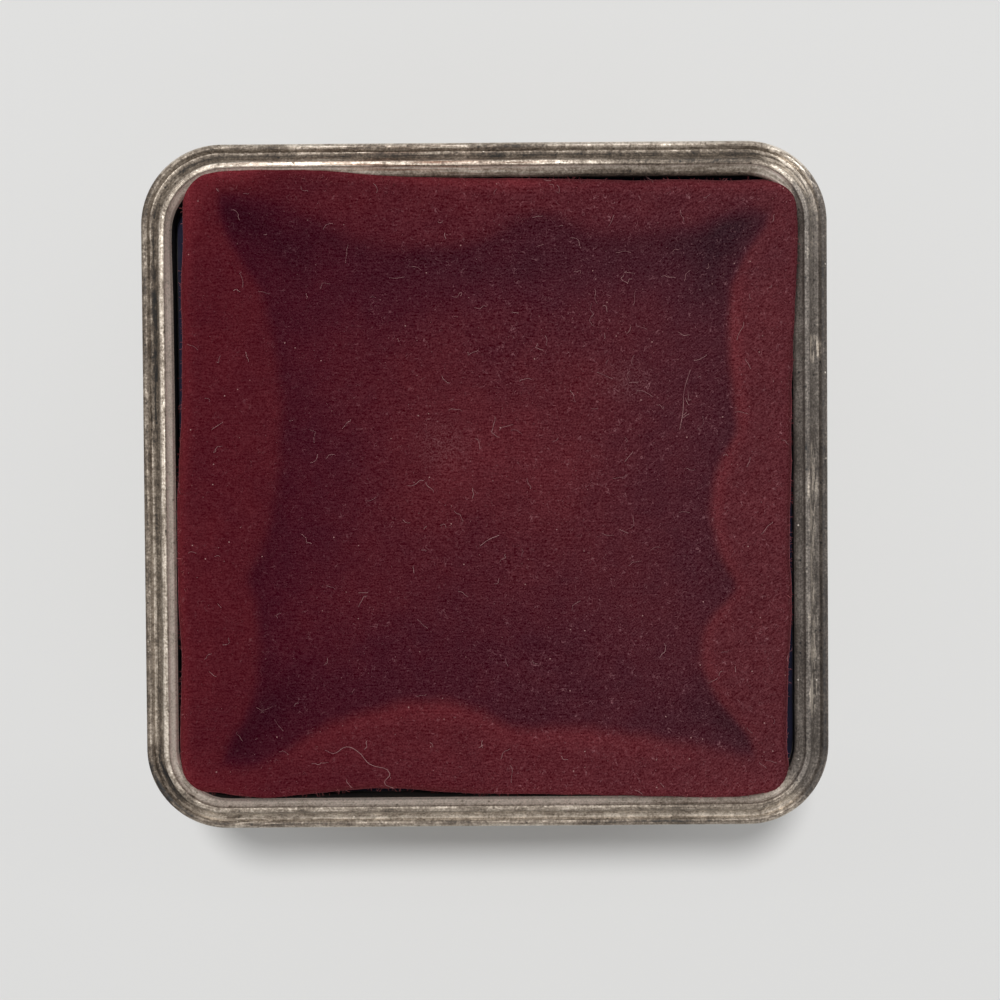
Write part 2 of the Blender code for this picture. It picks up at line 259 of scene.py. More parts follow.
tarnishColours = [
    (0.00, (0.86, 0.78, 0.69)),
    (0.20, (0.66, 0.585, 0.50)),
    (0.38, (0.42, 0.365, 0.305)),
    (0.55, (0.212, 0.172, 0.134)),
    (0.72, (0.088, 0.066, 0.048)),
    (0.88, (0.030, 0.023, 0.017)),
    (1.00, (0.010, 0.009, 0.009)),
]
plating = {
    "scratchAlong": 2.5 * mm, "scratchAcross": 0.035 * mm,
    "streakAlong": 6.0 * mm, "streakAcross": 0.15 * mm,
    "blotchAlong": 2.2 * mm, "blotchAcross": 0.34 * mm,
    "mottle": 0.8 * mm, "pitting": 0.20 * mm, "bruise": 5.0 * mm,
    "bumpDepth": 0.012 * mm,
    "calm": 0.5,  # share of the wear on the right side
    "streaks": 0.56, "mottles": 0.62, "pits": 0.62, "bruises": 0.35, "grains": 0.22,
    "gloss": (0.36, 0.62),
    "cool": (0.93, 1.01, 1.15, 1),  # tint of the right side
    "darkGrains": (0.5 * mm, 0.16, 0.28), "paleGrains": (0.9 * mm, 0.10, 0.12),  # cell, share, radius
    "copper": (0.66, 0.42, 0.33, 1),
    "pale": (0.75, 0.68, 0.60, 1),
}
wallPlating = {
    **plating, "mottle": 2.6 * mm, "streakAlong": 26 * mm, "streakAcross": 0.22 * mm, "bruise": 11 * mm,
    "mottles": 0.14, "streaks": 0.26, "pits": 0.10, "bruises": 0.26, "grains": 0.09, "gloss": (0.24, 0.56),
}


def plateFinish(name, sectionLength, zones, spots=(), copper=(), blotches=(), size=plating):
    # zones: by side, (share of the section, tarnish, with painted light and shade on the mouldings); spots
    # and
    # blotches: (centre, reach, change), blotches with torn edges along the ring; copper: (centre, reach)
    material, t, shader, place = newFinish(name, 0.35, 1.0)
    ring = t.add("UVMap", uv_map="sweep")
    across = t.axis(ring, 1)

    def drawn(kind, *detail):  # noise drawn out along the ring
        scale = (ringSpan() / size[kind + "Along"], sectionLength / size[kind + "Across"], 1)
        return t.noise(t.stretch(ring, scale), 1.0, *detail)

    streaks = drawn("streak", 3.0, 0.6)
    pits = t.noise(place, size["pitting"], 2.0, 0.6)
    tarnish = t.ramp(across, zones["front"])
    for side in ("left", "right", "back"):
        if side in zones:
            tarnish = t.floatMix(t.side(place, side), tarnish, t.ramp(across, zones[side]))
    life = t.ramp(across, zones["life"]) if "life" in zones else 1.0  # less wear away from the moulding
    lively = t.times(t.remap(t.side(place, "right"), 0.0, 1.0, 1.0, size["calm"]), life)
    tarnish = t.swing(tarnish, streaks, t.times(lively, size["streaks"]))
    mottle = t.noise(place, size["mottle"], 4.0, 0.65, 0.4)
    tarnish = t.swing(tarnish, mottle, t.times(lively, size["mottles"]))
    tarnish = t.swing(tarnish, pits, t.times(life, size["pits"]))
    tarnish = t.swing(tarnish, t.noise(place, size["bruise"], 2.0, 0.5), size["bruises"])
    for centre, reach, change in spots:
        tarnish = t.timesPlus(t.spot(place, centre, reach), change, tarnish)
    torn = t.remap(drawn("blotch", 4.0, 0.65, 0.3), 0.44, 0.56)
    for centre, reach, change in blotches:
        share = t.times(t.remap(t.spot(place, centre, reach), 0.0, 0.4), torn)
        tarnish = t.timesPlus(share, change, tarnish)
    darkGrains = t.grains(place, *size["darkGrains"])
    tarnish = t.timesPlus(darkGrains, t.times(life, size["grains"]), tarnish, clamp=True)
    colour = t.ramp(tarnish, tarnishColours)
    dulled = t.times(t.side(place, "right"), t.remap(tarnish, 0.42, 0.62))
    colour = t.mix(dulled, colour, size["cool"], "MULTIPLY")
    for centre, reach in copper:
        share = t.times(t.spot(place, centre, reach), t.remap(streaks, 0.42, 0.62))
        colour = t.mix(share, colour, size["copper"], "MULTIPLY")
    paleGrains = t.grains(place, *size["paleGrains"])
    t.feed(shader, {
        "Base Color": t.mix(t.times(paleGrains, 0.8), colour, size["pale"]),
        "Metallic": t.remap(tarnish, 0.10, 0.80, 0.75, 0.25),
        "Roughness": t.remap(tarnish, 0.05, 0.8, *size["gloss"])})
    t.bump(shader, t.timesPlus(drawn("scratch", 2.0, 0.6), 0.5, t.times(pits, 0.5)), 0.6, size["bumpDepth"])
    return material


# Rings of metal: one tree carries a section round the rounded square

def newTree(name, source, floats, whole="", **more):
    # a tree with named inputs: one geometry, lists of numbers and whole numbers, others by kind, a material
    tree = bpy.data.node_groups.new(name, "GeometryNodeTree")
    kinds = {source: "Geometry", **{label: "Float" for label in floats.split()},
             **{label: "Int" for label in whole.split()}, **more, "Material": "Material"}
    for label, kind in kinds.items():
        tree.interface.new_socket(name=label, in_out="INPUT", socket_type="NodeSocket" + kind)
    tree.interface.new_socket(name="Geometry", in_out="OUTPUT", socket_type="NodeSocketGeometry")
    t = Nodes(tree)
    return t, t.node("NodeGroupInput").outputs


def endTree(t, geometry, material):
    real = t.geo("RealizeInstances", {"Geometry": geometry})
    finished = t.geo("SetMaterial", {"Geometry": real, "Material": material})
    t.node("NodeGroupOutput", {"Geometry": finished})
    return t.tree


def roundedBox(t, width, height, radius, count):
    flat = t.geo("CurvePrimitiveQuadrilateral", {"Width": width, "Height": height}, mode="RECTANGLE")
    return t.geo("FilletCurve", {"Curve": flat, "Radius": radius, "Count": count}, mode="POLY")


def sweepTree():
    t, given = newTree("roundedSquareSweep", "Section", "Width Corner Step Unevenness Ripple Seed")
    rounded = roundedBox(t, given["Width"], given["Width"], given["Corner"], 40)
    even = t.geo("ResampleCurve", {"Curve": rounded, "Length": given["Step"]}, mode="LENGTH")
    captured = {}
    for name, curve in (("along", t.geo("SetCurveNormal", {"Curve": even}, mode="Z_UP")),
                        ("across", t.geo("MeshToCurve", {"Mesh": given["Section"]}))):
        capture = t.node("GeometryNodeCaptureAttribute", {"Geometry": curve})
        capture.capture_items.new("FLOAT", name)
        t.feed(capture, {1: t.geo("SplineParameter", out="Length")})
        captured[name] = capture.outputs
    geometry = t.geo("CurveToMesh", {"Curve": captured["along"][0], "Profile Curve": captured["across"][0]})
    for name, outputs in captured.items():
        geometry = t.geo("StoreNamedAttribute", {"Geometry": geometry, "Name": name, "Value": outputs[1]},
                         data_type="FLOAT", domain="POINT")
    return endTree(t, pushed(t, geometry, given["Ripple"], given["Unevenness"], given["Seed"]),
                   given["Material"])


def pushed(t, geometry, scale, amount, seed):  # shifts points by soft noise read where they are
    spot = t.geo("InputPosition")
    ripple = t.add("TexNoise", {"Vector": spot, "W": seed, "Scale": scale, "Detail": 1.0}, "Color",
                   noise_dimensions="4D")
    push = t.scaled(t.vector("SUBTRACT", ripple, (0.5, 0.5, 0.5)), amount)
    return t.geo("SetPosition", {"Geometry": geometry, "Offset": push})


def bakeTree(name, tree, source, values):
    modifier = source.modifiers.new("nodes", "NODES")
    modifier.node_group = tree
    for item in tree.interface.items_tree:
        if item.in_out == "INPUT" and item.name in values:
            modifier[item.identifier] = values[item.name]
    mesh = evaluated(name, source)
    source.modifiers.remove(modifier)
    return addObject(name, mesh)


def sectionLine(points, closed):
    # a section as (inset, height), laid out as the sweep reads it: its X points outwards and its Y down
    mesh = bpy.data.meshes.new("section")
    edges = [(i, i + 1) for i in range(len(points) - 1)]
    if closed:
        edges.append((len(points) - 1, 0))
    mesh.from_pydata([(-inset, -height, 0) for inset, height in points], edges, [])
    return addObject("section", mesh)


def sectionSpan(points, closed=True):
    ring = points + [points[0]] if closed else points
    return float(sum(math.dist(a, b) for a, b in zip(ring, ring[1:])))


def ringSpan():
    return 8 * (outline["half"] - outline["corner"]) + 2 * math.pi * outline["corner"]


def mapSweep(mesh, sectionLength):
    # a UV map from the captured lengths, unbroken where the ring or the section closes on itself
    places = []
    for name, full in (("along", ringSpan()), ("across", sectionLength)):
        values = np.zeros(len(mesh.vertices), np.float32)
        mesh.attributes[name].data.foreach_get("value", values)
        places.append(values / full)
        mesh.attributes.remove(mesh.attributes[name])
    layer = mesh.uv_layers.new(name="sweep")
    for face in mesh.polygons:
        mapped = []
        for values in places:
            found = [float(values[mesh.loops[i].vertex_index]) for i in face.loop_indices]
            mapped.append([value + 1 if max(found) - value > 0.5 else value for value in found])
        for i, u, v in zip(face.loop_indices, *mapped):
            layer.data[i].uv = (u, v)


def fillHoles(tidy):
    bmesh.ops.holes_fill(tidy, edges=[e for e in tidy.edges if e.is_boundary])


def sweepRing(name, points, material, closed=True, unevenness=0.05 * mm, seed=1.0):
    line = sectionLine(points, closed)
    piece = bakeTree(name, sweep, line, {
        "Width": 2 * outline["half"], "Corner": outline["corner"], "Step": outline["step"],
        "Unevenness": unevenness, "Ripple": 1 / outline["ripple"], "Seed": seed, "Material": material})
    bpy.data.objects.remove(line)
    mapSweep(piece.data, sectionSpan(points, closed))
    if not closed:
        editMesh(piece.data, fillHoles)
    faceOut(piece.data)
    soften(piece.data, 50)
    return piece


sweep = sweepTree()

moulding = {
    "bead": 0.36 * mm,
    "cove": 1.05 * mm,
    "coveTop": 0.32 * mm,  # ridge top down to the head of the cove
    "ridge": 0.54 * mm,
    "ridgeEdge": 0.14 * mm,
    "slope": 0.41 * mm,
    "slopeDepth": 1.05 * mm,
    "lip": 0.14 * mm,  # rounding where the slope drops into the recess
    "beadDrop": 1.5 * mm,  # ridge top down to the bead's middle
    "undercut": 1.7 * mm,
    "hem": 0.12 * mm,  # rounding of cut edges
    "clear": 3.25 * mm,  # inside face of the skirt, from the outline
    "webReach": 1.3 * mm,  # the foot's web under the body
    "leanFrom": (3.4 * mm, 2.0 * mm),  # below the ridge top, where the lean sets in
}
ridgeStart = 2 * moulding["bead"] + moulding["cove"]
ridgeEnd = ridgeStart + moulding["ridge"]
recess = ridgeEnd + moulding["slope"]

# How much further in the lid's ridge and its inner lip lie along each side, on this uneven stamping, as
# (place along the side, ridge, lip) in millimetres
rimLean = {
    "left": [(0, 0.03, 0.28), (18, 0.03, 0.22), (23, 0.06, 0.12), (28, 0.24, 0.30)],
    "right": [(14, 0.05, 0.48), (20, 0.05, 0.10)],
    "back": [(-28, 0.24, 0.50), (-22, 0.03, 0.50)],
    "front": [(0, -0.12, 0.08)],
}


def mouldingFace(m):
    # stepped outside face as (inset, depth below the ridge top), from the wall to the recess, with marks
    wide, edge, drop = m["bead"], m["ridgeEdge"], m["beadDrop"]
    marks = {}
    face = arc(wide, drop + wide + m["undercut"], outline["overhang"] - wide, 0, -90, 12, m["undercut"])
    marks["bead"] = len(face)
    marks["beadTop"] = len(face) + 17
    face += arc(wide, drop, wide, 90, 335, 24)[1:]
    marks["groove"] = len(face)
    face += arc(2 * wide, m["coveTop"], m["cove"], 86, 4, 16, drop - m["coveTop"])
    marks["ridge"] = len(face)
    face += arc(ridgeStart + edge, edge, edge, 180, 270, 5)
    face += arc(ridgeEnd - edge, edge, edge, 270, 355, 5)
    marks["slope"] = len(face)
    for share in (0.1, 0.35, 0.65, 0.9):
        face.append((ridgeEnd + m["slope"] * share, edge + (m["slopeDepth"] - edge) * share))
    marks["lip"] = len(face)
    face += arc(ridgeEnd + m["slope"] - m["lip"], m["slopeDepth"] + m["lip"], m["lip"], -50, 0, 3)
    marks["end"] = len(face) - 1
    return face, marks


def rimSection(height, end):  # from the wall's edge, over the moulding, back round the inside
    wall, hem = outline["overhang"], moulding["hem"]
    start = [(wall + hem, height), *arc(wall + hem, height - hem, hem, 120, 180, 2)]
    face, marks = mouldingFace(moulding)
    points = start + face + end
    travelled = np.cumsum([0] + [math.dist(a, b) for a, b in zip(points, points[1:])])
    marks.update(wall=0, inside=len(face) + 1)
    full = sectionSpan(points)
    return points, {name: float(travelled[len(start) + i] / full) for name, i in marks.items()}


# Tarnish of the moulding's steps on each side of the box, with painted reflection and shade: each side's
# steps are set lighter or darker as the light and the pale surroundings fall on them
toneSteps = ("hollow", "beadSide", "beadTop", "groove", "coveLow", "cove", "head", "ridge", "edge", "slope",
             "slopeLow", "lip")
sideTarnishAndShading = {
    "left": (0.62, 0.66, 0.64, 0.40, 0.74, 0.50, 0.26, 0.47, 0.26, 0.24, 0.20, 0.20),
    "right": (0.62, 0.58, 0.82, 0.64, 0.68, 0.66, 0.54, 0.70, 0.80, 0.68, 0.68, 0.72),
    "back": (0.62, 0.26, 0.70, 0.54, 0.80, 0.50, 0.26, 0.50, 0.26, 0.32, 0.62, 0.64),
    "front": (0.60, 0.32, 0.62, 0.34, 0.46, 0.36, 0.14, 0.57, 0.46, 0.34, 0.16, 0.08),
}


def rimZones(at, low):
    wall, bead, groove, ridge = at["wall"], at["bead"], at["groove"], at["ridge"]
    zones = {}
    for side, tones in sideTarnishAndShading.items():
        tone = dict(zip(toneSteps, tones))
        zones[side] = [
            (0.0, low), (wall * 0.9, low), (wall, 0.45), ((wall + bead) / 2, tone["hollow"]),
            (bead, tone["beadSide"] + 0.05), (bead * 0.4 + at["beadTop"] * 0.6, tone["beadSide"]),
            (at["beadTop"], tone["beadTop"]), (groove, tone["groove"]),
            (groove * 0.8 + ridge * 0.2, tone["coveLow"]), (groove * 0.4 + ridge * 0.6, tone["cove"]),
            (ridge - 0.008, tone["head"]), (ridge + 0.003, tone["ridge"]),
            (at["slope"] - 0.010, tone["ridge"]), (at["slope"] - 0.002, tone["edge"]),
            (at["slope"] + 0.005, tone["slope"]), (at["lip"] - 0.004, tone["slopeLow"]),
            # nearly black past the lip, in the recess: painted shade of the gap as well as tarnish
            (at["lip"] + 0.001, tone["lip"]), (at["end"], tone["lip"] + 0.1), (at["end"] + 0.008, 0.97),
            (at["inside"] - 0.004, 0.97), (at["inside"] + 0.004, 0.55), (1.0, 0.42),
        ]
    zones["life"] = [(0.0, 0.3), (bead - 0.01, 0.3), (bead, 1.0), (at["end"], 1.0), (at["inside"], 0.4)]
    return zones


def leanRim(mesh, top):
    half, corner = outline["half"], outline["corner"]
    for vertex in mesh.vertices:
        x, y, z = vertex.co
        qx, qy = abs(x) - half + corner, abs(y) - half + corner
        inset = corner - (math.hypot(qx, qy) if min(qx, qy) > 0 else max(qx, qy))
        high = smooth(*(top - below for below in moulding["leanFrom"]), z)
        onRidge = smooth(2 * moulding["bead"], ridgeStart, inset) * high
        onLip = smooth(ridgeEnd, recess, inset) * high
        for value, where, axis, pair in ((x, y, 0, ("left", "right")), (y, x, 1, ("front", "back"))):
            places, ridges, lips = np.array(rimLean[pair[value > 0]]).T * mm
            ridgeBy, lipBy = np.interp(where, places, ridges), np.interp(where, places, lips)
            share = smooth(0.5, 0.92, abs(value) / half)
            inward = -math.copysign(1.0, value)
            vertex.co[axis] += inward * share * (ridgeBy * onRidge + (lipBy - ridgeBy) * onLip)


def buildLidRim():
    low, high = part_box("lid_rim")
    tall = high.z - low.z
    ledge = high.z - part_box("lid_plate")[0].z + outline["gap"]
    inside, hem = moulding["clear"], moulding["hem"]
    end = [(recess, ledge), (inside, ledge), *arc(inside - hem, tall - hem, hem, 0, 60, 2)]
    points, places = rimSection(tall, end)
    lit = [(inset, high.z - depth) for inset, depth in points]
    material = plateFinish("lidPlate", sectionSpan(lit), rimZones(places, 0.36), rimSpots, rimCopper,
                           rimBlotches)
    piece = sweepRing("lidRim", lit, material, seed=3.0)
    leanRim(piece.data, high.z)
    settle(piece, "lid", "silver_plate", "lid_rim")


def buildFootRim():
    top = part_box("foot_rim")[1].z
    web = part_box("base_velvet")[1].z + outline["gap"]
    inner, hem = outline["overhang"] + moulding["webReach"], moulding["hem"]
    end = [(recess, web), *arc(inner - hem, web + hem, hem, -90, 0, 2),
           *arc(inner - hem, top - hem, hem, 0, 90, 2)]
    points, places = rimSection(top, end)
    material = plateFinish("footPlate", sectionSpan(points), rimZones(places, 0.42), footSpots)
    settle(sweepRing("footRim", points, material, seed=7.0), "body", "silver_plate", "foot_rim")


shell = {
    "wall": 1.2 * mm,
    "edge": 0.2 * mm,
    "rows": 9,
    "lip": 0.7 * mm,
}


def roundTop(outer, inner, top):  # a wall's upper edge, from its outside to its inside
    edge = shell["edge"]
    return [*arc(outer + edge, top - edge, edge, 180, 90, 4), *arc(inner - edge, top - edge, edge, 90, 0, 4)]


def buildBodyShell():
    low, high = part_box("body_shell")
    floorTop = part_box("floor_board")[0].z - outline["gap"]
    wall, edge = outline["overhang"], shell["edge"]
    inner = wall + shell["wall"]
    rise = np.linspace(low.z + edge, high.z - edge, shell["rows"])[1:-1]
    section = [(inner, low.z), *arc(wall + edge, low.z + edge, edge, 270, 180, 4),
               *((wall, float(z)) for z in rise), *roundTop(wall, inner, high.z), (inner, floorTop)]
    full = sectionSpan(section, False)
    outside = sectionSpan(section[:-2], False) / full
    # darker towards the foot and just under the top edge
    stops = [(0.0, 0.60), (0.02, 0.46), (outside * 0.18, 0.33), (outside * 0.55, 0.26),
             (outside * 0.88, 0.31), (outside * 0.95, 0.46), (outside, 0.30),
             (min(outside + 0.05, 1.0), 0.40)]
    material = plateFinish("wallPlate", full, {"front": stops}, wallSpots, size=wallPlating)
    piece = sweepRing("bodyShell", section, material, False, 0.10 * mm, 12.0)
    settle(piece, "body", "silver_plate", "body_shell")


def buildMouthLip():
    low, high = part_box("mouth_lip")
    outer = outline["half"] - high.x
    inner = outer + shell["lip"]
    section = [(outer, low.z), *roundTop(outer, inner, high.z), (inner, low.z)]
    full = sectionSpan(section)
    tall = (high.z - low.z) / full
    stops = [(0.0, 0.40), (tall * 0.65, 0.42), (tall * 0.8, 0.22), (tall, 0.14), (tall + 0.08, 0.12),
             (tall * 1.4, 0.26), (1.0, 0.40)]
    material = plateFinish("lipPlate", full, {"front": stops})
    piece = sweepRing("mouthLip", section, material, unevenness=0.04 * mm, seed=21.0)
    settle(piece, "body", "silver_plate", "mouth_lip")


# Places on the lid's moulding in millimetres: rubbed bright (less tarnish) or dark (more), and one painted
# highlight
rimSpots = [
    ((-30, -29, 34), (4, 5, 3), 0.08),  # front left corner, darker
    ((30, 27, 35), (5, 6, 9), -0.08),
    ((-18, 30, 36), (10, 1.6, 2), -0.16),
    ((30.2, 22, 35.2), (1.2, 8, 2), -0.06),
    ((30.9, -10, 34.6), (1.0, 26, 1.2), 0.08),
    ((-31, 17, 34.8), (1.4, 14, 1.6), 0.10),  # dark length of the left cove
    ((-30.5, -14, 35.2), (0.9, 9, 1.4), -0.08),
    ((16, 31.4, 34.9), (13, 0.7, 1.0), -0.20),  # painted highlight along the back bead
    ((20, 30, 36), (14, 1.0, 1.5), 0.26),  # back ridge, dull on the right
    ((15, 28.9, 35.2), (13, 0.8, 1.2), 0.20),  # and its slope
    ((16, -31.5, 34.8), (12, 0.6, 1.2), 0.16),
    ((18, -29.2, 35), (12, 0.8, 2), 0.20),  # front lip, dull on the right
]
rimBlotches = [
    ((30.2, -1, 35.2), (0.9, 7, 1.3), -0.34),  # right side, worn cream
    ((30.2, -14, 35.2), (0.9, 8.5, 1.3), -0.30),
    ((30.2, -19.5, 35.2), (0.9, 2.5, 1.3), -0.30),
    ((30.5, 12.5, 35.0), (0.8, 1.6, 1.2), -0.34),
    ((28.5, 29.5, 35), (3.5, 3.5, 1.2), -0.34),  # back right corner
    ((-29.8, -27.5, 34.6), (4, 4.5, 1.4), 0.20),  # front left corner, blackened
    ((-22, -31.2, 34.6), (6, 1.0, 1.2), 0.20),
    ((-31, 14, 34.7), (0.9, 14, 1.2), 0.20),
    ((-31.4, 14, 34.9), (0.5, 12, 0.7), -0.30),
    ((-12, 31.4, 34.9), (16, 0.35, 0.8), -0.16),
]
rimCopper = [((-7, 30, 36), (19, 2.2, 3))]
footSpots = [((0, -31, 1), (22, 3, 4), -0.10)]
wallSpots = [
    ((-8, -29.6, 15), (20, 4, 9), -0.07),
    ((29.6, 6, 18), (4, 16, 8), -0.06),
    ((-29.6, -10, 12), (4, 14, 7), 0.08),
    ((6, 29.6, 12), (18, 4, 6), 0.06),
]


# Velvet. The nap attribute holds how the pile lies together with painted light and shade: 0 dark, 1 light;
# its bands, crests, creases and edges paint the sheen and shade of the padding.

velvet = {
    "rowPitch": 0.34 * mm, "rowWander": 1.6 * mm, "rowSway": 16.0, "rowShare": 0.05,
    "pile": (0.60 * mm, 0.13 * mm, 0.13 * mm), "pileDepth": 0.05 * mm,
    "speckle": 0.15 * mm, "speckleShare": 0.64,
    "brushed": 36.0,  # degrees, the way the pile is stroked on the right
    "cloud": 3.0 * mm, "clouds": 0.22,
    "sheenAndDust": (-0.0006, 0.0078),  # painted sheen: pale bloom of the tips, left and right
    "tipGlints": (0.0105, 0.0160),  # how unevenly it lies
    "strandCurl": 0.62 * mm, "strandTint": (0.125, 0.066, 0.072, 1),
    "dust": (0.40, 0.23, 0.22, 1), "dustGrains": (1.1 * mm, 0.36, 0.070),
    "shine": {"Specular IOR Level": 0.04, "Sheen Weight": 0.30, "Sheen Roughness": 0.30,
              "Sheen Tint": (0.85, 0.24, 0.27, 1)},
}
napRange = (-0.1, 1.3)
# colours of the nap with its painted light and shade, from dark to light
napColours = [
    (-0.10, (0.0220, 0.0025, 0.0072)),
    (0.25, (0.0450, 0.0051, 0.0110)),
    (0.50, (0.0678, 0.0080, 0.0126)),
    (0.75, (0.0970, 0.0118, 0.0166)),
    (1.00, (0.1320, 0.0168, 0.0225)),
    (1.30, (0.1830, 0.0270, 0.0325)),
]


def velvetFinish(name, dusty=()):
    material, t, shader, place = newFinish(name, 0.95)
    size = velvet
    eastward, northward = t.axis(place, 0), t.axis(place, 1)
    turned = t.add("VectorRotate", {"Vector": place, "Angle": -math.radians(size["brushed"])},
                   rotation_type="Z_AXIS")
    level, slanted = (t.drawnOut(way, size["pile"], 2.0, 0.6, 0.3) for way in (place, turned))
    pile = t.remap(t.floatMix(t.remap(eastward, 4 * mm, 18 * mm), level, slanted), 0.35, 0.65)
    speckle = t.remap(t.noise(place, size["speckle"], 1.0, 0.5), 0.33, 0.67)
    rowPlace = t.times(northward, 2 * math.pi / size["rowPitch"])
    wander = t.noise(place, size["rowWander"], 2.0)
    rows = t.math("SINE", t.timesPlus(wander, size["rowSway"], rowPlace))
    grain = t.timesPlus(rows, size["rowShare"], t.floatMix(size["speckleShare"], pile, speckle))
    cloud = t.noise(place, size["cloud"], 3.0, 0.6, 0.5)
    low, high = napRange
    nap = t.swing(t.add("Attribute", out="Fac", attribute_name="nap"), cloud, size["clouds"])
    stops = [((value - low) / (high - low), shade) for value, shade in napColours]
    colour = t.ramp(t.remap(nap, low, high), stops)
    contrast = t.remap(eastward, -22 * mm, 4 * mm, 0.58, 0.80)
    swing = t.math("SUBTRACT", grain, 0.5)
    colour = t.mix(1.0, colour, t.timesPlus(swing, contrast, 1.0), "MULTIPLY")
    # painted sheen: a pale bloom that grows towards the right, with real dust added in the dusty spots
    sheenAndDust = t.remap(eastward, -24 * mm, 28 * mm, *size["sheenAndDust"])
    for centre, reach, amount in dusty:
        sheenAndDust = t.timesPlus(t.times(t.spot(place, centre, reach), t.remap(speckle, 0.2, 0.9)), amount, sheenAndDust)
    # painted glints: the grain lifts pale tips of the pile, more towards the right
    glintAmount = t.remap(eastward, -22 * mm, 6 * mm, *size["tipGlints"])
    glintsSheenAndDust = t.timesPlus(swing, t.timesPlus(sheenAndDust, 0.8, glintAmount), sheenAndDust)
    colour = t.vector("ADD", colour, t.add("CombineXYZ", {0: glintsSheenAndDust, 1: glintsSheenAndDust, 2: glintsSheenAndDust}))
    often = t.remap(eastward, -24 * mm, 14 * mm, 0.35, 1.0)
    for curl, width, share in ((1.0, 0.022, 1.0), (0.6, 0.030, 0.7)):
        strands = t.times(t.strands(place, curl * size["strandCurl"], width), t.times(often, share))
        colour = t.vector("ADD", colour, t.mix(strands, (0, 0, 0, 1), size["strandTint"]))
    dust = t.times(t.grains(place, *size["dustGrains"]), 0.75)
    t.feed(shader, {"Base Color": t.mix(dust, colour, size["dust"]), **size["shine"]})
    relief = t.timesPlus(rows, size["rowShare"], t.times(speckle, 0.4))
    t.bump(shader, t.timesPlus(pile, 0.4, relief), 0.5, size["pileDepth"])
    return material


def gridPlaces(cells, half, corner, rollWidth, rollShare):
    # a square grid whose rings turn from squares in the middle into the rounded square at the edge
    steps = np.linspace(-1, 1, cells + 1)
    u, v = np.meshgrid(steps, steps, indexing="ij")
    ring = np.maximum(abs(u), abs(v))
    turn = np.where(abs(u) >= abs(v), v, u) / np.maximum(ring, 1e-9)
    rolled = np.clip((ring - (1 - rollShare)) / rollShare, 0, 1) * math.pi / 2
    size = (half - rollWidth) * np.minimum(ring / (1 - rollShare), 1) + rollWidth * np.sin(rolled)
    radius = np.clip(corner * ring ** 5, 0, size * 0.98)
    straight = size - radius
    travelled = abs(turn) * (straight + radius * math.pi / 4)
    angle = np.where(travelled > straight, (travelled - straight) / np.maximum(radius, 1e-9), 0)
    out = np.where(angle > 0, straight + radius * np.cos(angle), size)
    side = np.where(angle > 0, straight + radius * np.sin(angle), travelled) * np.sign(turn)
    x = np.where(abs(u) >= abs(v), np.sign(u) * out, side)
    y = np.where(abs(u) >= abs(v), side, np.sign(v) * out)
    return x, y, 1 - np.cos(rolled)


def gridRim(cells):  # indices of the grid's outer ring, in order
    ring = [(i, 0) for i in range(cells)] + [(cells, j) for j in range(cells)]
    ring += [(i, cells) for i in range(cells, 0, -1)] + [(0, j) for j in range(cells, 0, -1)]
    return [i * (cells + 1) + j for i, j in ring]


def noiseField(x, y, scale, seed, depth=2):
    spots = (Vector((a / scale, b / scale, seed)) for a, b in zip(x.ravel(), y.ravel()))
    return np.array([noise.fractal(spot, 0.6, 2.0, depth) for spot in spots]).reshape(x.shape)


def stroke(place, end=None, wide=2.0, tall=None, **amounts):
    # a soft mark on a panel, in millimetres from its middle
    start, stop = ((x * mm, y * mm) for x, y in (place, end or place))
    return {"from": start, "to": stop, "wide": wide * mm, "tall": (tall or wide) * mm, **amounts}


def strokeField(x, y, strokes, key):
    total = np.zeros_like(x)
    for s in strokes:
        (ax, ay), (bx, by) = s["from"], s["to"]
        span = max((bx - ax) ** 2 + (by - ay) ** 2, 1e-12)
        share = np.clip(((x - ax) * (bx - ax) + (y - ay) * (by - ay)) / span, 0, 1)
        dx, dy = x - ax - share * (bx - ax), y - ay - share * (by - ay)
        total += s.get(key, 0.0) * np.exp(-(dx / s["wide"]) ** 2 - (dy / s["tall"]) ** 2)
    return total


def alongLine(places, where, reach=1.0):  # a soft curve through (place, value) pairs in millimetres
    spots, values = np.array(places).T * mm
    steps = (-2, -1.2, -0.4, 0.4, 1.2, 2)
    return sum(np.interp(where + step * reach * mm, spots, values) for step in steps) / len(steps)


def bulgesOf(form, near, along):
    # how far each point lies inside the edge bulges' curved inner line, in millimetres and in steps of that
    # line's softness, and the nap there with its painted sheen and a painted highlight on each crest
    depths, steps, naps = [], [], []
    for side, line in form["bulges"].items():
        places, *rest = np.array(line).T
        curve, tone, crestHighlight = (alongLine(list(zip(places, values)), along[side], reach) / mm
                              for values, reach in zip(rest, (0.45, 1.5, 1.5)))
        depth = curve - near[side] / mm
        soft = form["softness"][side]
        naps.append(tone + crestHighlight * np.exp(-((depth - 0.9 * soft) / (1.1 * soft)) ** 2))
        depths.append(depth)
        steps.append(depth / soft)
    steps = np.array(steps)
    weights = np.exp(np.clip((steps - steps.max(0)) / 0.5, -30, 0))
    return np.max(depths, 0), steps.max(0), (weights * np.array(naps)).sum(0) / weights.sum(0)


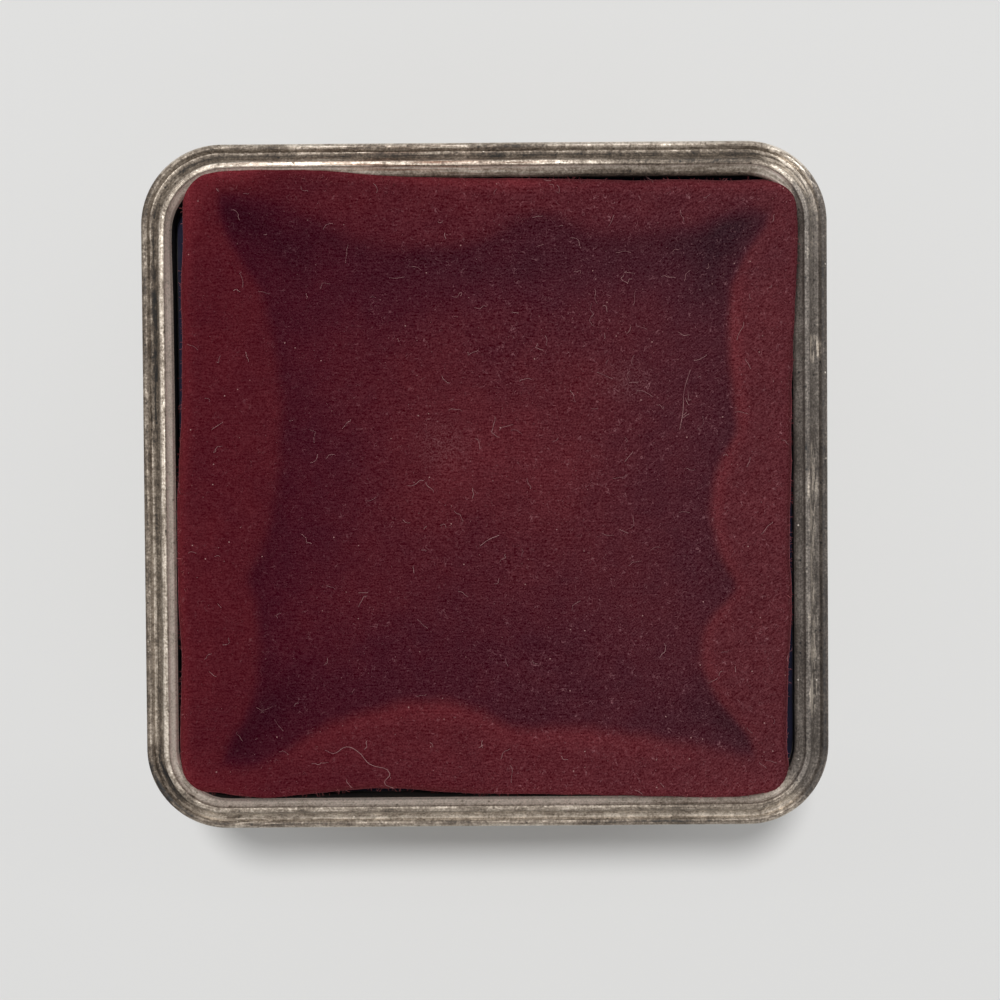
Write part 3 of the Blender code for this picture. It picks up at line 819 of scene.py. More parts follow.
def panelFace(half, form):  # the padded face: x, y, height above the panel's crown, and nap with painted light and shade
    x, y, drop = gridPlaces(form["cells"], half, form["corner"], form["rollWidth"], form["rollShare"])
    near = {"right": half - x, "left": half + x, "back": half - y, "front": half + y}
    along = {"right": y, "left": y, "back": x, "front": x}
    away = {"right": (-1, 0), "left": (1, 0), "back": (0, -1), "front": (0, 1)}
    marks = {key: strokeField(x, y, form["strokes"], key) for key in ("lift", "nap", "over")}
    depth, steps, lobeNapAndShading = bulgesOf(form, near, along)
    height = form["dish"] * (smooth(-1.9, 1.3, depth) - 1) + marks["lift"]
    height += form["rumple"] * noiseField(x, y, 6 * mm, form["seed"] + 5.0, 3) * (1 - drop)
    height += form["pile"] * noiseField(x, y, 0.45 * mm, form["seed"] + 9.0, 2)
    height = np.minimum(height, 0) - form["rollDepth"] * drop
    for side, places in form["rises"].items():  # where the wadding swells up over the metal's slope
        height += alongLine(places, along[side]) * np.exp(-(near[side] / (1.5 * mm)) ** 2) * (1 - drop)
    turn = smooth(-0.9, 0.9, steps)
    nap = (form["nap"] + marks["nap"]) * (1 - turn) + lobeNapAndShading * turn + marks["over"]
    # random clouds, and painted shade on the rolled-down sides
    nap += form["clouds"] * noiseField(x, y, 7 * mm, form["seed"], 3) - form["rollShade"] * drop
    # painted highlights along each edge
    for side, (amount, wide) in form["edgeHighlights"].items():
        nap += amount * np.exp(-(near[side] / (wide * mm)) ** 2)
    pulled = [np.zeros_like(x), np.zeros_like(y)]
    for side in near:
        pull = form["edgeWave"] * noiseField(along[side], 0 * x, 4 * mm, form["seed"] + len(side), 2)
        if side in form["edges"]:
            pull = alongLine(form["edges"][side], along[side]) + pull
        over = 1 - smooth(0.15, 0.75, drop)  # where it bulges outwards only the top goes over the metal
        pull = np.where(pull < 0, pull * over, pull)
        weight = 1 - smooth(0.5 * mm, form["pullReach"], near[side])
        for axis in (0, 1):
            pulled[axis] += away[side][axis] * pull * weight
    return x + pulled[0], y + pulled[1], height, nap


def panelMesh(name, box, facing, form):
    # velvet over wadding as one closed skin: padded face, rolled edge, sides, and a tray clear of the board
    low, high = box
    x, y, height, nap = panelFace((high.x - low.x) / 2, form)
    face = [(a, b, high.z - low.z + h) for a, b, h in zip(x.ravel(), y.ravel(), height.ravel())]
    cells = form["cells"]
    n = cells + 1
    faces = [(i * n + j, (i + 1) * n + j, (i + 1) * n + j + 1, i * n + j + 1)
             for i in range(cells) for j in range(cells)]
    points, naps = list(face), list(nap.ravel())
    rim = previous = gridRim(cells)
    for inward, level in form["tray"]:
        ring = list(range(len(points), len(points) + len(rim)))
        for px, py, _ in (face[i] for i in rim):
            share = 1 - inward / max(abs(px), abs(py))
            points.append((px * share, py * share, level))
        naps += [0.2] * len(rim)
        faces += zip(previous, ring, ring[1:] + ring[:1], previous[1:] + previous[:1])
        previous = ring
    faces.append(tuple(reversed(previous)))
    placed = [(px, py, high.z - pz if facing < 0 else low.z + pz) for px, py, pz in points]
    mesh = makeMesh(name, placed, faces)
    storeValues(mesh, "nap", naps)
    mesh.shade_smooth()
    return mesh


layer = {"board": 0.8 * mm, "cloth": 0.6 * mm}  # as in the frame's panels
trayIn = layer["cloth"] + outline["gap"] - 0.1 * mm
tray = [(0.05 * mm, 0.35 * mm), (0.15 * mm, 0.0), (trayIn, 0.0),
        (trayIn + 0.05 * mm, layer["board"] + outline["gap"])]

# Bulges of the wadding along each side, in millimetres: (place along the side, how far in their inner line
# lies, nap with painted sheen, painted highlight on their crest). Edges: (place along the side, how far in
# the cloth stops). Rises: (place along the side, how far the edge swells up).
lidPanel = {
    "cells": 300, "corner": 2.0 * mm, "rollWidth": 0.9 * mm, "rollDepth": 1.1 * mm, "rollShare": 0.06,
    "edges": {
        "left": [(-26, 0.0), (-21, 0.12), (-15, 0.36), (-12, 0.0), (-3, -0.12), (4, 0.35), (9, 0.6),
                 (20, 0.62), (24, 0.85), (27, 0.9)],
        "right": [(-28, 0.4), (-26, 0.85), (-23, 0.85), (-16, 0.65), (-12, 0.25), (-6, 0.55), (0, 0.35),
                  (8, 0.3), (13, 0.1), (17, -0.3), (23, -0.6), (27, -0.4)],
        "back": [(-27, -0.70), (-22, -1.0), (-15, -0.90), (-10, -0.35), (-2, 0.20), (6, 0.30), (12, 0.50),
                 (21, 0.52), (24, 0.60), (27, 0.60)],
        "front": [(-26, 0.38), (-24, 0.2), (-21, -0.75), (-19, -0.3), (-16, 0.2), (-12, 0.48), (-9, 0.68),
                  (-5.5, 0.25), (-2, 0.05), (0, -0.12), (12, -0.45), (17, -0.6), (22, -0.75), (25, -0.5),
                  (28, 0.1)],
    },
    "rises": {
        "back": [(-28, 0.40), (-22, 0.58), (-15, 0.50), (-9, 0.10), (-5, 0.0)],
        "right": [(10, 0.0), (16, 0.22), (27, 0.30)],
        "front": [(-24, 0.0), (-21, 0.25), (-18, 0.0), (8, 0.0), (14, 0.22), (26, 0.25)],
    },
    "edgeWave": 0.09 * mm, "pullReach": 5.0 * mm,
    "softness": {"left": 0.85, "right": 0.65, "back": 1.35, "front": 1.05},
    "bulges": {
        "left": [(-28, 4.0, 0.56, 0), (-24.3, 4.4, 0.52, 0), (-22.1, 6.0, 0.48, 0), (-19, 7.4, 0.46, 0.02),
                 (-14.7, 7.75, 0.47, 0.02), (-10.1, 7.3, 0.48, 0.04), (-8.4, 6.5, 0.48, 0),
                 (-6.7, 7.6, 0.49, 0.02), (-3, 8.9, 0.49, 0), (2, 9.7, 0.48, 0), (7.5, 9.9, 0.48, 0),
                 (13.7, 9.4, 0.48, 0), (18.6, 7.9, 0.47, 0), (23, 5.1, 0.49, 0), (26, 4.2, 0.55, 0)],
        "right": [(-28, 3.8, 0.54, 0), (-23.7, 4.2, 0.52, 0.02), (-22.4, 5.5, 0.52, 0.06),
                  (-20.3, 7.3, 0.52, 0.10), (-17.8, 8.6, 0.54, 0.12), (-15.3, 9.1, 0.54, 0.12),
                  (-13.0, 8.5, 0.54, 0.10), (-11, 6.8, 0.52, 0.06), (-9.9, 5.4, 0.50, 0.02),
                  (-8.6, 6.0, 0.52, 0.08), (-6.7, 7.2, 0.54, 0.16), (-3, 8.0, 0.56, 0.18),
                  (0, 7.8, 0.56, 0.18), (2.9, 6.8, 0.56, 0.14), (4.7, 5.5, 0.54, 0.10),
                  (6.9, 5.7, 0.54, 0.16), (10.6, 6.1, 0.54, 0.20), (14.3, 6.3, 0.54, 0.20),
                  (18.7, 6.0, 0.54, 0.12), (21.7, 4.4, 0.50, 0.04), (24.5, 2.7, 0.52, 0)],
        "back": [(-24, 2.1, 0.62, 0), (-20.3, 2.7, 0.42, 0), (-16.6, 3.9, 0.35, 0), (-12.3, 6.0, 0.40, 0),
                 (-7.3, 7.0, 0.42, 0), (-2.4, 6.7, 0.44, 0), (1.3, 5.5, 0.42, 0), (3.5, 4.1, 0.42, 0),
                 (5.4, 3.5, 0.42, 0), (7.5, 4.5, 0.42, 0), (10, 5.8, 0.38, 0), (13.1, 5.9, 0.38, 0),
                 (16.8, 5.65, 0.40, 0), (20.5, 4.85, 0.44, 0), (24.2, 3.6, 0.46, 0)],
        "front": [(-26, 3.4, 0.54, 0), (-23, 2.8, 0.52, 0), (-20.9, 3.2, 0.50, 0), (-18.4, 4.6, 0.50, 0.06),
                  (-15.3, 6.6, 0.53, 0.10), (-11.6, 7.9, 0.56, 0.13), (-7.3, 8.9, 0.57, 0.14),
                  (-3.6, 8.9, 0.57, 0.14), (-0.5, 7.9, 0.57, 0.10), (2, 6.5, 0.55, 0.06),
                  (4.4, 6.3, 0.56, 0.10), (8.1, 6.4, 0.57, 0.14), (13.1, 5.8, 0.57, 0.12),
                  (17.4, 5.0, 0.57, 0.06), (21.1, 4.3, 0.57, 0), (24, 3.6, 0.56, 0), (27, 3.4, 0.58, 0)],
    },
    # painted highlights along each edge: (amount, reach in millimetres)
    "edgeHighlights": {"left": (0.38, 0.9), "right": (0.10, 0.6), "back": (0.32, 1.1), "front": (0.14, 0.6)},
    "dish": 0.85 * mm, "rumple": 0.05 * mm, "pile": 0.012 * mm, "clouds": 0.05,
    # the base level of the nap with its painted light, and painted shade on the rolled-down sides
    "nap": 0.22, "rollShade": 0.10, "seed": 11.0,
    "tray": tray,
    # strokes: the light ones paint the light on the padding's crown, arms and rolled edges, the dark ones
    # paint shade in its ditch and creases
    "strokes": [
        stroke((1, 4), wide=14, tall=12.5, nap=0.29, lift=0.25 * mm),  # broad middle, painted lighter
        stroke((-4, 0), (-15, -13), 4.5, nap=0.12),  # its arms to the corners
        stroke((6, 0), (17, -15), 4.5, nap=0.12),
        stroke((8, 9), (15, 13), 4.5, nap=0.10),
        stroke((-5, 9), (-13, 13), 4.0, nap=0.08),
        stroke((1, -11), wide=8, tall=3.5, nap=0.06),
        stroke((-10, 20.2), (14, 20.5), 2.6, nap=-0.10),  # painted shade in the ditch behind
        stroke((-23.6, 25.2), (-17.5, 22), nap=-0.14, over=-0.06),  # painted shade in the creases to the corners
        stroke((24, 24), (19, 22), nap=-0.12, over=-0.05),
        stroke((22.3, 23.5), (20.5, 18), 2.2, nap=-0.14, over=-0.05),
        stroke((-23, -24), (-18, -19), nap=-0.10, over=-0.06),
        stroke((23.5, -23.6), (19.5, -20.5), 1.6, nap=-0.10, over=-0.03),
        # painted highlights along the rolled edges; the last one a little darker
        stroke((-27.4, 26), (-27.3, 24), 1.3, over=0.12),
        stroke((-26.5, -9), (-26.5, -19), 1.6, over=0.08),
        stroke((-28, 27.5), (-22, 28.5), 1.6, over=0.22),
        stroke((-16, 28.6), (2, 28.3), 3, 0.9, over=0.10),
        stroke((-14, 26.3), (14, 26.0), 3, 1.2, over=0.08),
        stroke((3.2, 28.2), wide=1.8, tall=0.9, over=0.25),
        stroke((-28, -27.5), (-24, -28.2), 1.6, over=0.14),
        stroke((22, -28.3), (26, -27.8), 1.4, over=0.08),
        stroke((-14, -27.5), (-8, -27), 3, 1.2, over=-0.06),
    ],
}
plainBulge = [(-28, 2.4, 0.50, 0), (-23, 2.8, 0.48, 0), (-18, 5.2, 0.46, 0.06), (-11.5, 6.2, 0.46, 0.08),
              (-4, 5.2, 0.46, 0.08), (0, 4.0, 0.45, 0.04), (4, 5.0, 0.46, 0.08), (11.5, 5.8, 0.46, 0.08),
              (18, 4.9, 0.46, 0.06), (23, 2.8, 0.48, 0), (28, 2.4, 0.50, 0)]
plainPanel = {
    **lidPanel, "cells": 130, "edges": {}, "rises": {}, "edgeWave": 0.14 * mm,
    "softness": dict.fromkeys(sides, 0.9), "bulges": dict.fromkeys(sides, plainBulge),
    "edgeHighlights": dict.fromkeys(sides, (0.15, 0.8)),
    "strokes": [stroke((2, 3), wide=14, tall=13, nap=0.20, lift=0.2 * mm),
                stroke((-21, -21), (-16, -16), over=-0.10), stroke((21, 20), (16, 16), over=-0.10)],
}
basePanel = {**plainPanel, "seed": 31.0, "corner": 4.4 * mm}
floorPanel = {**plainPanel, "seed": 47.0, "corner": 1.4 * mm, "nap": 0.26, "edgeWave": 0.05 * mm}
liningPanel = {**plainPanel, "seed": 59.0, "corner": 1.8 * mm, "dish": 0.35 * mm, "rollWidth": 0.8 * mm,
               "rollDepth": 0.8 * mm, "edgeWave": 0.08 * mm}


def buildPanel(name, body, prefix, facing, form, material):
    piece = addObject(name, panelMesh(name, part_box(prefix + "_velvet"), facing, form), material)
    settle(piece, body, "red_velvet", prefix + "_velvet", prefix + "_wadding")
    return piece


sideLining = {
    "card": 0.5 * mm, "cloth": 1.2 * mm, "roll": 0.3 * mm, "rows": 28,
    "puff": 6.0 * mm, "puffDepth": 0.16 * mm,
    # painted light and shade: the rolled top lighter, the lower part darker
    "nap": 0.34, "napPuff": 0.12, "napRoll": 0.30, "napLow": -0.12,
}


def buildSideLining(material):
    low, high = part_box("side_velvet")
    s = sideLining
    outer = outline["half"] - high.x
    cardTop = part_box("side_card")[1].z + outline["gap"]
    behind = outer + s["card"] + outline["gap"]
    inner = behind + s["cloth"]
    roll = high.z - cardTop
    section = [(behind, low.z), (behind, cardTop), (outer, cardTop),
               *arc(outer + s["roll"], cardTop, s["roll"], 180, 90, 8, roll)[1:],
               *arc(inner - s["roll"], cardTop, s["roll"], 90, 0, 8, roll)]
    section += [(inner, float(z)) for z in np.linspace(cardTop, low.z, s["rows"])[1:]]
    piece = sweepRing("sideVelvet", section, material, unevenness=0.0, seed=33.0)
    naps = []
    for vertex in piece.data.vertices:
        spot = vertex.co
        reach = max(abs(spot.x), abs(spot.y))
        shown = smooth(outline["half"] - behind, outline["half"] - inner, reach)
        soft = noise.fractal(spot / s["puff"], 0.6, 2.0, 2)
        level = (spot.z - low.z) / (high.z - low.z)
        puff = shown * s["puffDepth"] * (soft - 0.3) * 4 * level * (1 - level)
        spot.x -= math.copysign(puff, spot.x) * (abs(spot.x) > reach - s["cloth"])
        spot.y -= math.copysign(puff, spot.y) * (abs(spot.y) > reach - s["cloth"])
        rolled = float(smooth(cardTop - 0.4 * mm, high.z, spot.z))
        # the rolled top painted lighter and the lower part painted darker
        naps.append(s["nap"] + s["napPuff"] * soft + s["napRoll"] * rolled + s["napLow"] * (1 - level))
    storeValues(piece.data, "nap", naps)
    settle(piece, "body", "red_velvet", "side_velvet")


# Lint and fringe: loose hairs laid on the cloth, and short pile standing at its edge

def sown(t, given, key):  # points on the surface, as often as its attribute says
    density = t.times(t.geo("InputNamedAttribute", {"Name": key}, data_type="FLOAT"), given["Density"])
    return t.node("GeometryNodeDistributePointsOnFaces", {
        "Mesh": given["Surface"], "Density": density, "Seed": given["Seed"]}).outputs


def grown(t, points, piece, turn, size):  # one copy of the piece on each point
    inputs = {"Points": points[0], "Instance": piece, "Rotation": turn, "Scale": size}
    return t.geo("InstanceOnPoints", inputs)


def anyVector(t, low, high, seed=0):
    ends = {0: low, 1: high, "Seed": seed}
    return t.node("FunctionNodeRandomValue", ends, data_type="FLOAT_VECTOR").outputs[0]


def anyLength(t, low, high, given):
    ends = {2: low, 3: high, "Seed": given["Seed"]}
    return t.times(t.node("FunctionNodeRandomValue", ends, data_type="FLOAT").outputs[1], given["Length"])


def straightHair(t, start, end, count):
    line = t.geo("CurvePrimitiveLine", {"Start": start, "End": end})
    return t.geo("ResampleCurve", {"Curve": line, "Count": count})


def tube(t, curve, radius):
    ring = t.geo("CurvePrimitiveCircle", {"Resolution": 3, "Radius": radius})
    return t.geo("CurveToMesh", {"Curve": curve, "Profile Curve": ring, "Fill Caps": True})


def hairTree():
    t, given = newTree("looseHairs", "Surface", "Density Length Bend Radius Lift", "Seed")
    hairs = grown(t, sown(t, given, "lint"), straightHair(t, (-0.5, 0, 0), (0.5, 0, 0), 9),
                  anyVector(t, (0, 0, 0), (0, 0, 6.283), given["Seed"]), anyLength(t, 0.35, 1.25, given))
    real = t.geo("RealizeInstances", {"Geometry": hairs})
    bent = pushed(t, real, t.math("DIVIDE", 0.9, given["Length"]), given["Bend"], 4.0)
    above = t.vector("ADD", t.geo("InputPosition"), (0, 0, 4 * mm))
    ray = t.node("GeometryNodeRaycast", {
        "Target Geometry": given["Surface"], "Source Position": above, "Ray Direction": (0, 0, -1),
        "Ray Length": 8 * mm}).outputs
    onTop = t.vector("ADD", ray["Hit Position"], t.add("CombineXYZ", {2: given["Lift"]}))
    laid = t.geo("SetPosition", {"Geometry": bent, "Selection": ray["Is Hit"], "Position": onTop})
    return endTree(t, tube(t, laid, given["Radius"]), given["Material"])


def fringeTree():
    t, given = newTree("edgeFringe", "Surface", "Density Length Radius Splay", "Seed")
    points = sown(t, given, "fringe")
    fibre = tube(t, straightHair(t, (0, 0, -0.15), (0, 0, 0.85), 3),
                 t.math("DIVIDE", given["Radius"], given["Length"]))
    lean = t.scaled(anyVector(t, (-1, -1, -1), (1, 1, 1), given["Seed"]), given["Splay"])
    turned = t.node("FunctionNodeRotateEuler", {0: points["Rotation"], 1: lean}).outputs[0]
    return endTree(t, grown(t, points, fibre, turned, anyLength(t, 0.4, 1.2, given)), given["Material"])


def speckTree():
    t, given = newTree("dustSpecks", "Surface", "Density Radius", "Seed")
    grain = t.geo("MeshIcoSphere", {"Radius": given["Radius"], "Subdivisions": 1})
    turn = anyVector(t, (0, 0, 0), (6.283, 6.283, 6.283))
    size = anyVector(t, (0.4, 0.4, 0.3), (2.4, 1.0, 0.8), given["Seed"])
    return endTree(t, grown(t, sown(t, given, "lint"), grain, turn, size), given["Material"])


lint = {
    "hairs": {"Density": 7.0e4, "Length": 1.0 * mm, "Bend": 2.1 * mm, "Radius": 0.023 * mm,
              "Lift": 0.03 * mm, "Seed": 5},
    "specks": {"Density": 2.2e5, "Radius": 0.040 * mm, "Seed": 8},
    "fringe": {"Density": 3.2e6, "Length": 0.42 * mm, "Radius": 0.019 * mm, "Splay": 0.9, "Seed": 3},
    "fringeWidth": 1.1 * mm,
    "dense": [((-4, 4), 6, 1.4), ((11, 12), 8, 1.9), ((22, 3), 5, 1.2), ((-16, -27), 6, 1.5),
              ((8, 25), 8, 0.9)],  # middle, reach in millimetres, amount
}
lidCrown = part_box("lid_top_velvet")[1].z
longHairs = [  # routes over the lid panel, millimetres
    [(-15.1, -24.4, 0.05), (-14.3, -24.7, 0.15), (-13.1, -24.1, 0.12), (-12.0, -24.6, 0.08),
     (-11.0, -25.7, 0.12), (-9.1, -26.6, 0.15), (-9.6, -27.5, 0.10), (-8.8, -28.0, 0.0)],
    [(19.0, 10.6, -0.30), (18.4, 8.6, -0.22), (18.3, 6.8, -0.25), (18.0, 5.1, -0.35)],
    [(-0.6, -5.6, -0.45), (0.2, -5.0, -0.38), (1.2, -4.6, -0.45)],
]


def lintFinish(name, low, high):
    material, t, shader, place = newFinish(name, 0.8)
    share = t.remap(t.noise(place, 1.5 * mm, 2.0), 0.35, 0.65)
    t.feed(shader, {"Base Color": t.mix(share, (*low, 1), (*high, 1)), "Specular IOR Level": 0.2})
    return material


def threadMesh(name, places, radius, material):  # one hair through places in millimetres above the panel
    curve = bpy.data.curves.new(name, "CURVE")
    curve.dimensions = "3D"
    curve.bevel_depth = radius
    curve.bevel_resolution = 1
    curve.use_fill_caps = True
    spline = curve.splines.new("BEZIER")
    spline.bezier_points.add(len(places) - 1)
    for point, (px, py, pz) in zip(spline.bezier_points, places):
        point.co = (px * mm, py * mm, lidCrown + pz * mm)
        point.handle_left_type = point.handle_right_type = "AUTO"
    spline.resolution_u = 5
    holder = addObject(name, curve)
    mesh = evaluated(name, holder)
    bpy.data.objects.remove(holder)
    return addObject(name, mesh, material)


def joinMeshes(name, pieces, material):
    joined = bmesh.new()
    for piece in pieces:
        joined.from_mesh(piece.data)
        bpy.data.objects.remove(piece)
    mesh = bpy.data.meshes.new(name)
    joined.to_mesh(mesh)
    joined.free()
    return addObject(name, mesh, material)


def coatLid(mesh):  # how often lint and fringe grow at each point
    spots = np.zeros(len(mesh.vertices) * 3, np.float32)
    mesh.vertices.foreach_get("co", spots)
    x, y, z = spots.reshape(-1, 3).T
    share = 0.55 + 0 * x
    for (cx, cy), wide, amount in lint["dense"]:
        share += amount * np.exp(-((x / mm - cx) / wide) ** 2 - ((y / mm - cy) / wide) ** 2)
    storeValues(mesh, "lint", share * (z > lidCrown - 1.0 * mm))
    near = x.max() - np.maximum(abs(x), abs(y))
    tufts = np.clip(0.7 + 1.6 * noiseField(x, y, 0.8 * mm, 4.0, 2), 0.1, 2.0)
    atEdge = (near < lint["fringeWidth"]) * (z > lidCrown - 1.9 * mm) * (z < lidCrown + 1 * mm)
    storeValues(mesh, "fringe", atEdge * tufts)


def buildLint(panel):
    surface = addObject("lintSurface", panel.data.copy())
    coatLid(surface.data)
    pale = lintFinish("lidLintFinish", (0.17, 0.070, 0.080), (0.36, 0.20, 0.20))
    crimson = lintFinish("lidLintPile", (0.13, 0.016, 0.020), (0.38, 0.12, 0.13))
    loose = [bakeTree("lidLintHairs", hairTree(), surface, {**lint["hairs"], "Material": pale}),
             bakeTree("lidLintSpecks", speckTree(), surface, {**lint["specks"], "Material": pale})]
    loose += [threadMesh("longHair", route, lint["hairs"]["Radius"], pale) for route in longHairs]
    settle(joinMeshes("lidLint", loose, pale), "lid", "red_velvet")
    fringe = bakeTree("lidLintFringe", fringeTree(), surface, {**lint["fringe"], "Material": crimson})
    settle(fringe, "lid", "red_velvet")
    bpy.data.objects.remove(surface)


# Hinge: barrels by Geometry Nodes, each leaf one comb of sheet joined to its barrels

hinge = {
    "count": 5,
    "radius": 0.8 * mm,
    "bore": 0.43 * mm,
    "play": 0.2 * mm,
    "leaf": 0.35 * mm,
    "notch": 0.5 * mm,
    "edge": 0.05 * mm,
    "standoff": 0.25 * mm,
    "openAngle": 98.0,
    "heelPlay": 0.08 * mm,
    "heelTop": 0.15 * mm,
    "heelHeight": 0.4 * mm,
    "bite": 0.004 * mm,  # how far the leaf's face lies inside the barrels'
    "sink": 0.02 * mm,  # leaf's edge past the axis, inside the barrels
    "dome": 0.12 * mm,  # rounding of the pin's ends
    "pinSides": 28,
    "tarnish": 0.38, "stain": 1.4 * mm, "grime": 0.35 * mm,
    "drawn": (4 * mm, 0.06 * mm, 0.06 * mm),  # fine lines along the leaf
}


def barrelTree():
    t, given = newTree("hingeBarrels", "Carrier", "Spacing Length Radius Bore Round", "Count",
                       Place="Vector")
    wall = t.math("SUBTRACT", given["Radius"], given["Bore"])
    middle = t.times(t.math("ADD", given["Radius"], given["Bore"]), 0.5)
    ring = t.geo("CurvePrimitiveCircle", {"Resolution": 40, "Radius": middle})
    section = roundedBox(t, wall, given["Length"], given["Round"], 3)
    barrel = t.geo("CurveToMesh", {"Curve": ring, "Profile Curve": section})
    laid = t.geo("Transform", {"Geometry": barrel, "Rotation": (0, math.pi / 2, 0)})
    span = t.times(t.math("SUBTRACT", given["Count"], 1.0), given["Spacing"])
    row = t.geo("MeshLine", {
        "Count": given["Count"], "Offset": t.add("CombineXYZ", {0: given["Spacing"]}),
        "Start Location": t.vector("ADD", t.add("CombineXYZ", {0: t.times(span, -0.5)}), given["Place"])},
        mode="OFFSET")
    return endTree(t, t.geo("InstanceOnPoints", {"Points": row, "Instance": laid}), given["Material"])


def prismMesh(name, near, far):  # a solid between two like outlines
    count = len(near)
    faces = [tuple(range(count)), tuple(range(2 * count - 1, count - 1, -1))]
    faces += [(i, (i + 1) % count, (i + 1) % count + count, i + count) for i in range(count)]
    return makeMesh(name, near + far, faces)


def heelShape(h):  # the heel that stops the lid, as (y, z) about the axis at rest
    wall = h["standoff"] + h["radius"] - h["heelPlay"]
    turn = math.radians(h["openAngle"])
    along, down = math.cos(turn), math.sin(turn)
    corners = [(-wall * along + fall * down, -wall * down - fall * along)
               for fall in (h["heelTop"], h["heelTop"] + h["heelHeight"])]
    ends = [math.atan2(corner[1], corner[0]) + way * math.acos(h["radius"] / math.hypot(*corner))
            for corner, way in zip(corners, (-1, 1))]
    root, skin = 0.5 * (h["radius"] + h["bore"]), h["radius"] * 0.995
    inner = [(root * math.cos(a), root * math.sin(a)) for a in np.linspace(ends[1], ends[0], 6)]
    touch = [(skin * math.cos(a), skin * math.sin(a)) for a in ends]
    return [touch[0], *corners, touch[1], *inner]


def mendComb(tidy):  # joins the corners that the spans share and splits the large faces
    bmesh.ops.remove_doubles(tidy, verts=tidy.verts, dist=0.001 * mm)
    bmesh.ops.recalc_face_normals(tidy, faces=tidy.faces)
    bmesh.ops.triangulate(tidy, faces=[f for f in tidy.faces if len(f.verts) > 4])


def combMesh(name, spans, own, tip, axis):
    # sheet leaf: full height beside its own barrels, cut back beside the others
    h = hinge
    side = 1 if tip > axis.z else -1
    edge = []
    for k in range(h["count"]):
        past = h["play"] / 2 if k in own else -h["play"] / 2
        level = side * h["sink"] if k in own else side * (h["radius"] + h["notch"])
        edge += [(spans[k] + (past if k else 0), axis.z + level),
                 (spans[k + 1] - (past if k < h["count"] - 1 else 0), axis.z + level)]
    shape = [(spans[0], tip), *edge, (spans[-1], tip)]
    faces = (h["bite"] - h["radius"], h["leaf"] - h["radius"])
    mesh = prismMesh(name, *([(x, axis.y + y, z) for x, z in shape] for y in faces))
    editMesh(mesh, mendComb)
    return mesh


def hingeFinish(name, warm):
    material, t, shader, place = newFinish(name, 0.42, 0.9)
    drawn = t.drawnOut(place, hinge["drawn"], 2.0)
    grime = t.noise(place, hinge["grime"], 2.0)
    tarnish = t.swing(hinge["tarnish"], t.noise(place, hinge["stain"], 4.0, 0.65, 0.3), 0.40)
    tarnish = t.swing(t.swing(tarnish, drawn, 0.25), grime, 0.16)
    colour = t.ramp(t.math("ADD", tarnish, 0.0, clamp=True), tarnishColours)
    t.feed(shader, {"Base Color": t.mix(1.0, colour, (*warm, 1), "MULTIPLY"),
                    "Roughness": t.remap(tarnish, 0.1, 0.8, 0.30, 0.62)})
    t.bump(shader, t.timesPlus(grime, 0.5, drawn), 0.5, 0.01 * mm)
    return material


def buildLeaf(name, node, body, first, material):
    low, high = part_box(node)
    pinLow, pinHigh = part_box("hinge_pin")
    axis = (pinLow + pinHigh) / 2
    h = hinge
    pitch = (high.x - low.x) / h["count"]
    spans = [low.x + pitch * k for k in range(h["count"] + 1)]
    own = range(first, h["count"], 2)
    tip = max(high.z, axis.z) if first else min(low.z, axis.z)
    leaf = addObject(name, combMesh(name, spans, own, tip, axis))
    carrier = addObject("carrier", bpy.data.meshes.new("carrier"))
    helpers = [bakeTree(name + "Barrels", barrelRow, carrier, {
        "Count": len(own), "Spacing": 2 * pitch, "Length": pitch - h["play"], "Radius": h["radius"],
        "Bore": h["bore"], "Round": h["edge"], "Place": (0.0, axis.y, axis.z), "Material": material})]
    faceOut(helpers[0].data)
    for k in own if first else ():
        ends = spans[k] + h["play"] / 2 + h["edge"], spans[k + 1] - h["play"] / 2 - h["edge"]
        shapes = ([(x, axis.y + y, axis.z + z) for y, z in heelShape(h)] for x in ends)
        helpers.append(addObject("heel", prismMesh("heel", *shapes)))
    for helper in helpers:
        union = leaf.modifiers.new("join", "BOOLEAN")
        union.operation = "UNION"
        union.solver = "EXACT"
        union.object = helper
    mesh = evaluated(name, leaf)
    for spent in (leaf, carrier, *helpers):
        bpy.data.objects.remove(spent)
    soften(mesh, 35)
    settle(addObject(name, mesh, material), body, "hinge_metal", node)


def buildPin(material):
    low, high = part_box("hinge_pin")
    axis = (low + high) / 2
    radius, dome, sides = (high.z - low.z) / 2, hinge["dome"], hinge["pinSides"]
    stations = [(low.x, radius * 0.55), (low.x + dome * 0.4, radius * 0.85), (low.x + dome, radius),
                (high.x - dome, radius), (high.x - dome * 0.4, radius * 0.85), (high.x, radius * 0.55)]
    points = [(x, axis.y + y, axis.z + z) for x, r in stations for y, z in arc(0, 0, r, 0, 360, sides)[:-1]]
    faces = [tuple(range(sides)), tuple(range(len(points) - 1, len(points) - 1 - sides, -1))]
    for a in range(0, len(points) - sides, sides):
        b = a + sides
        faces += [(a + i, a + (i + 1) % sides, b + (i + 1) % sides, b + i) for i in range(sides)]
    mesh = makeMesh("hingePin", points, faces)
    soften(mesh, 50)
    settle(addObject("hingePin", mesh, material), "body", "pin_steel", "hinge_pin")


# Card boards and the lid's inner plate keep the frame's shape and get their finish here

def cardFinish():
    material, t, shader, place = newFinish("greyCard", 0.9)
    fibre = t.drawnOut(place, (0.9 * mm, 0.18 * mm, 0.3 * mm), 4.0, 0.7)
    flecks = t.grains(place, 1.1 * mm, 0.3, 0.12)
    colour = t.ramp(fibre, [(0.25, (0.105, 0.098, 0.088)), (0.5, (0.155, 0.145, 0.130)),
                            (0.75, (0.215, 0.20, 0.18))])
    t.feed(shader, {"Base Color": t.mix(t.times(flecks, 0.6), colour, (0.32, 0.29, 0.25, 1))})
    t.bump(shader, fibre, 0.5, 0.05 * mm)
    return material


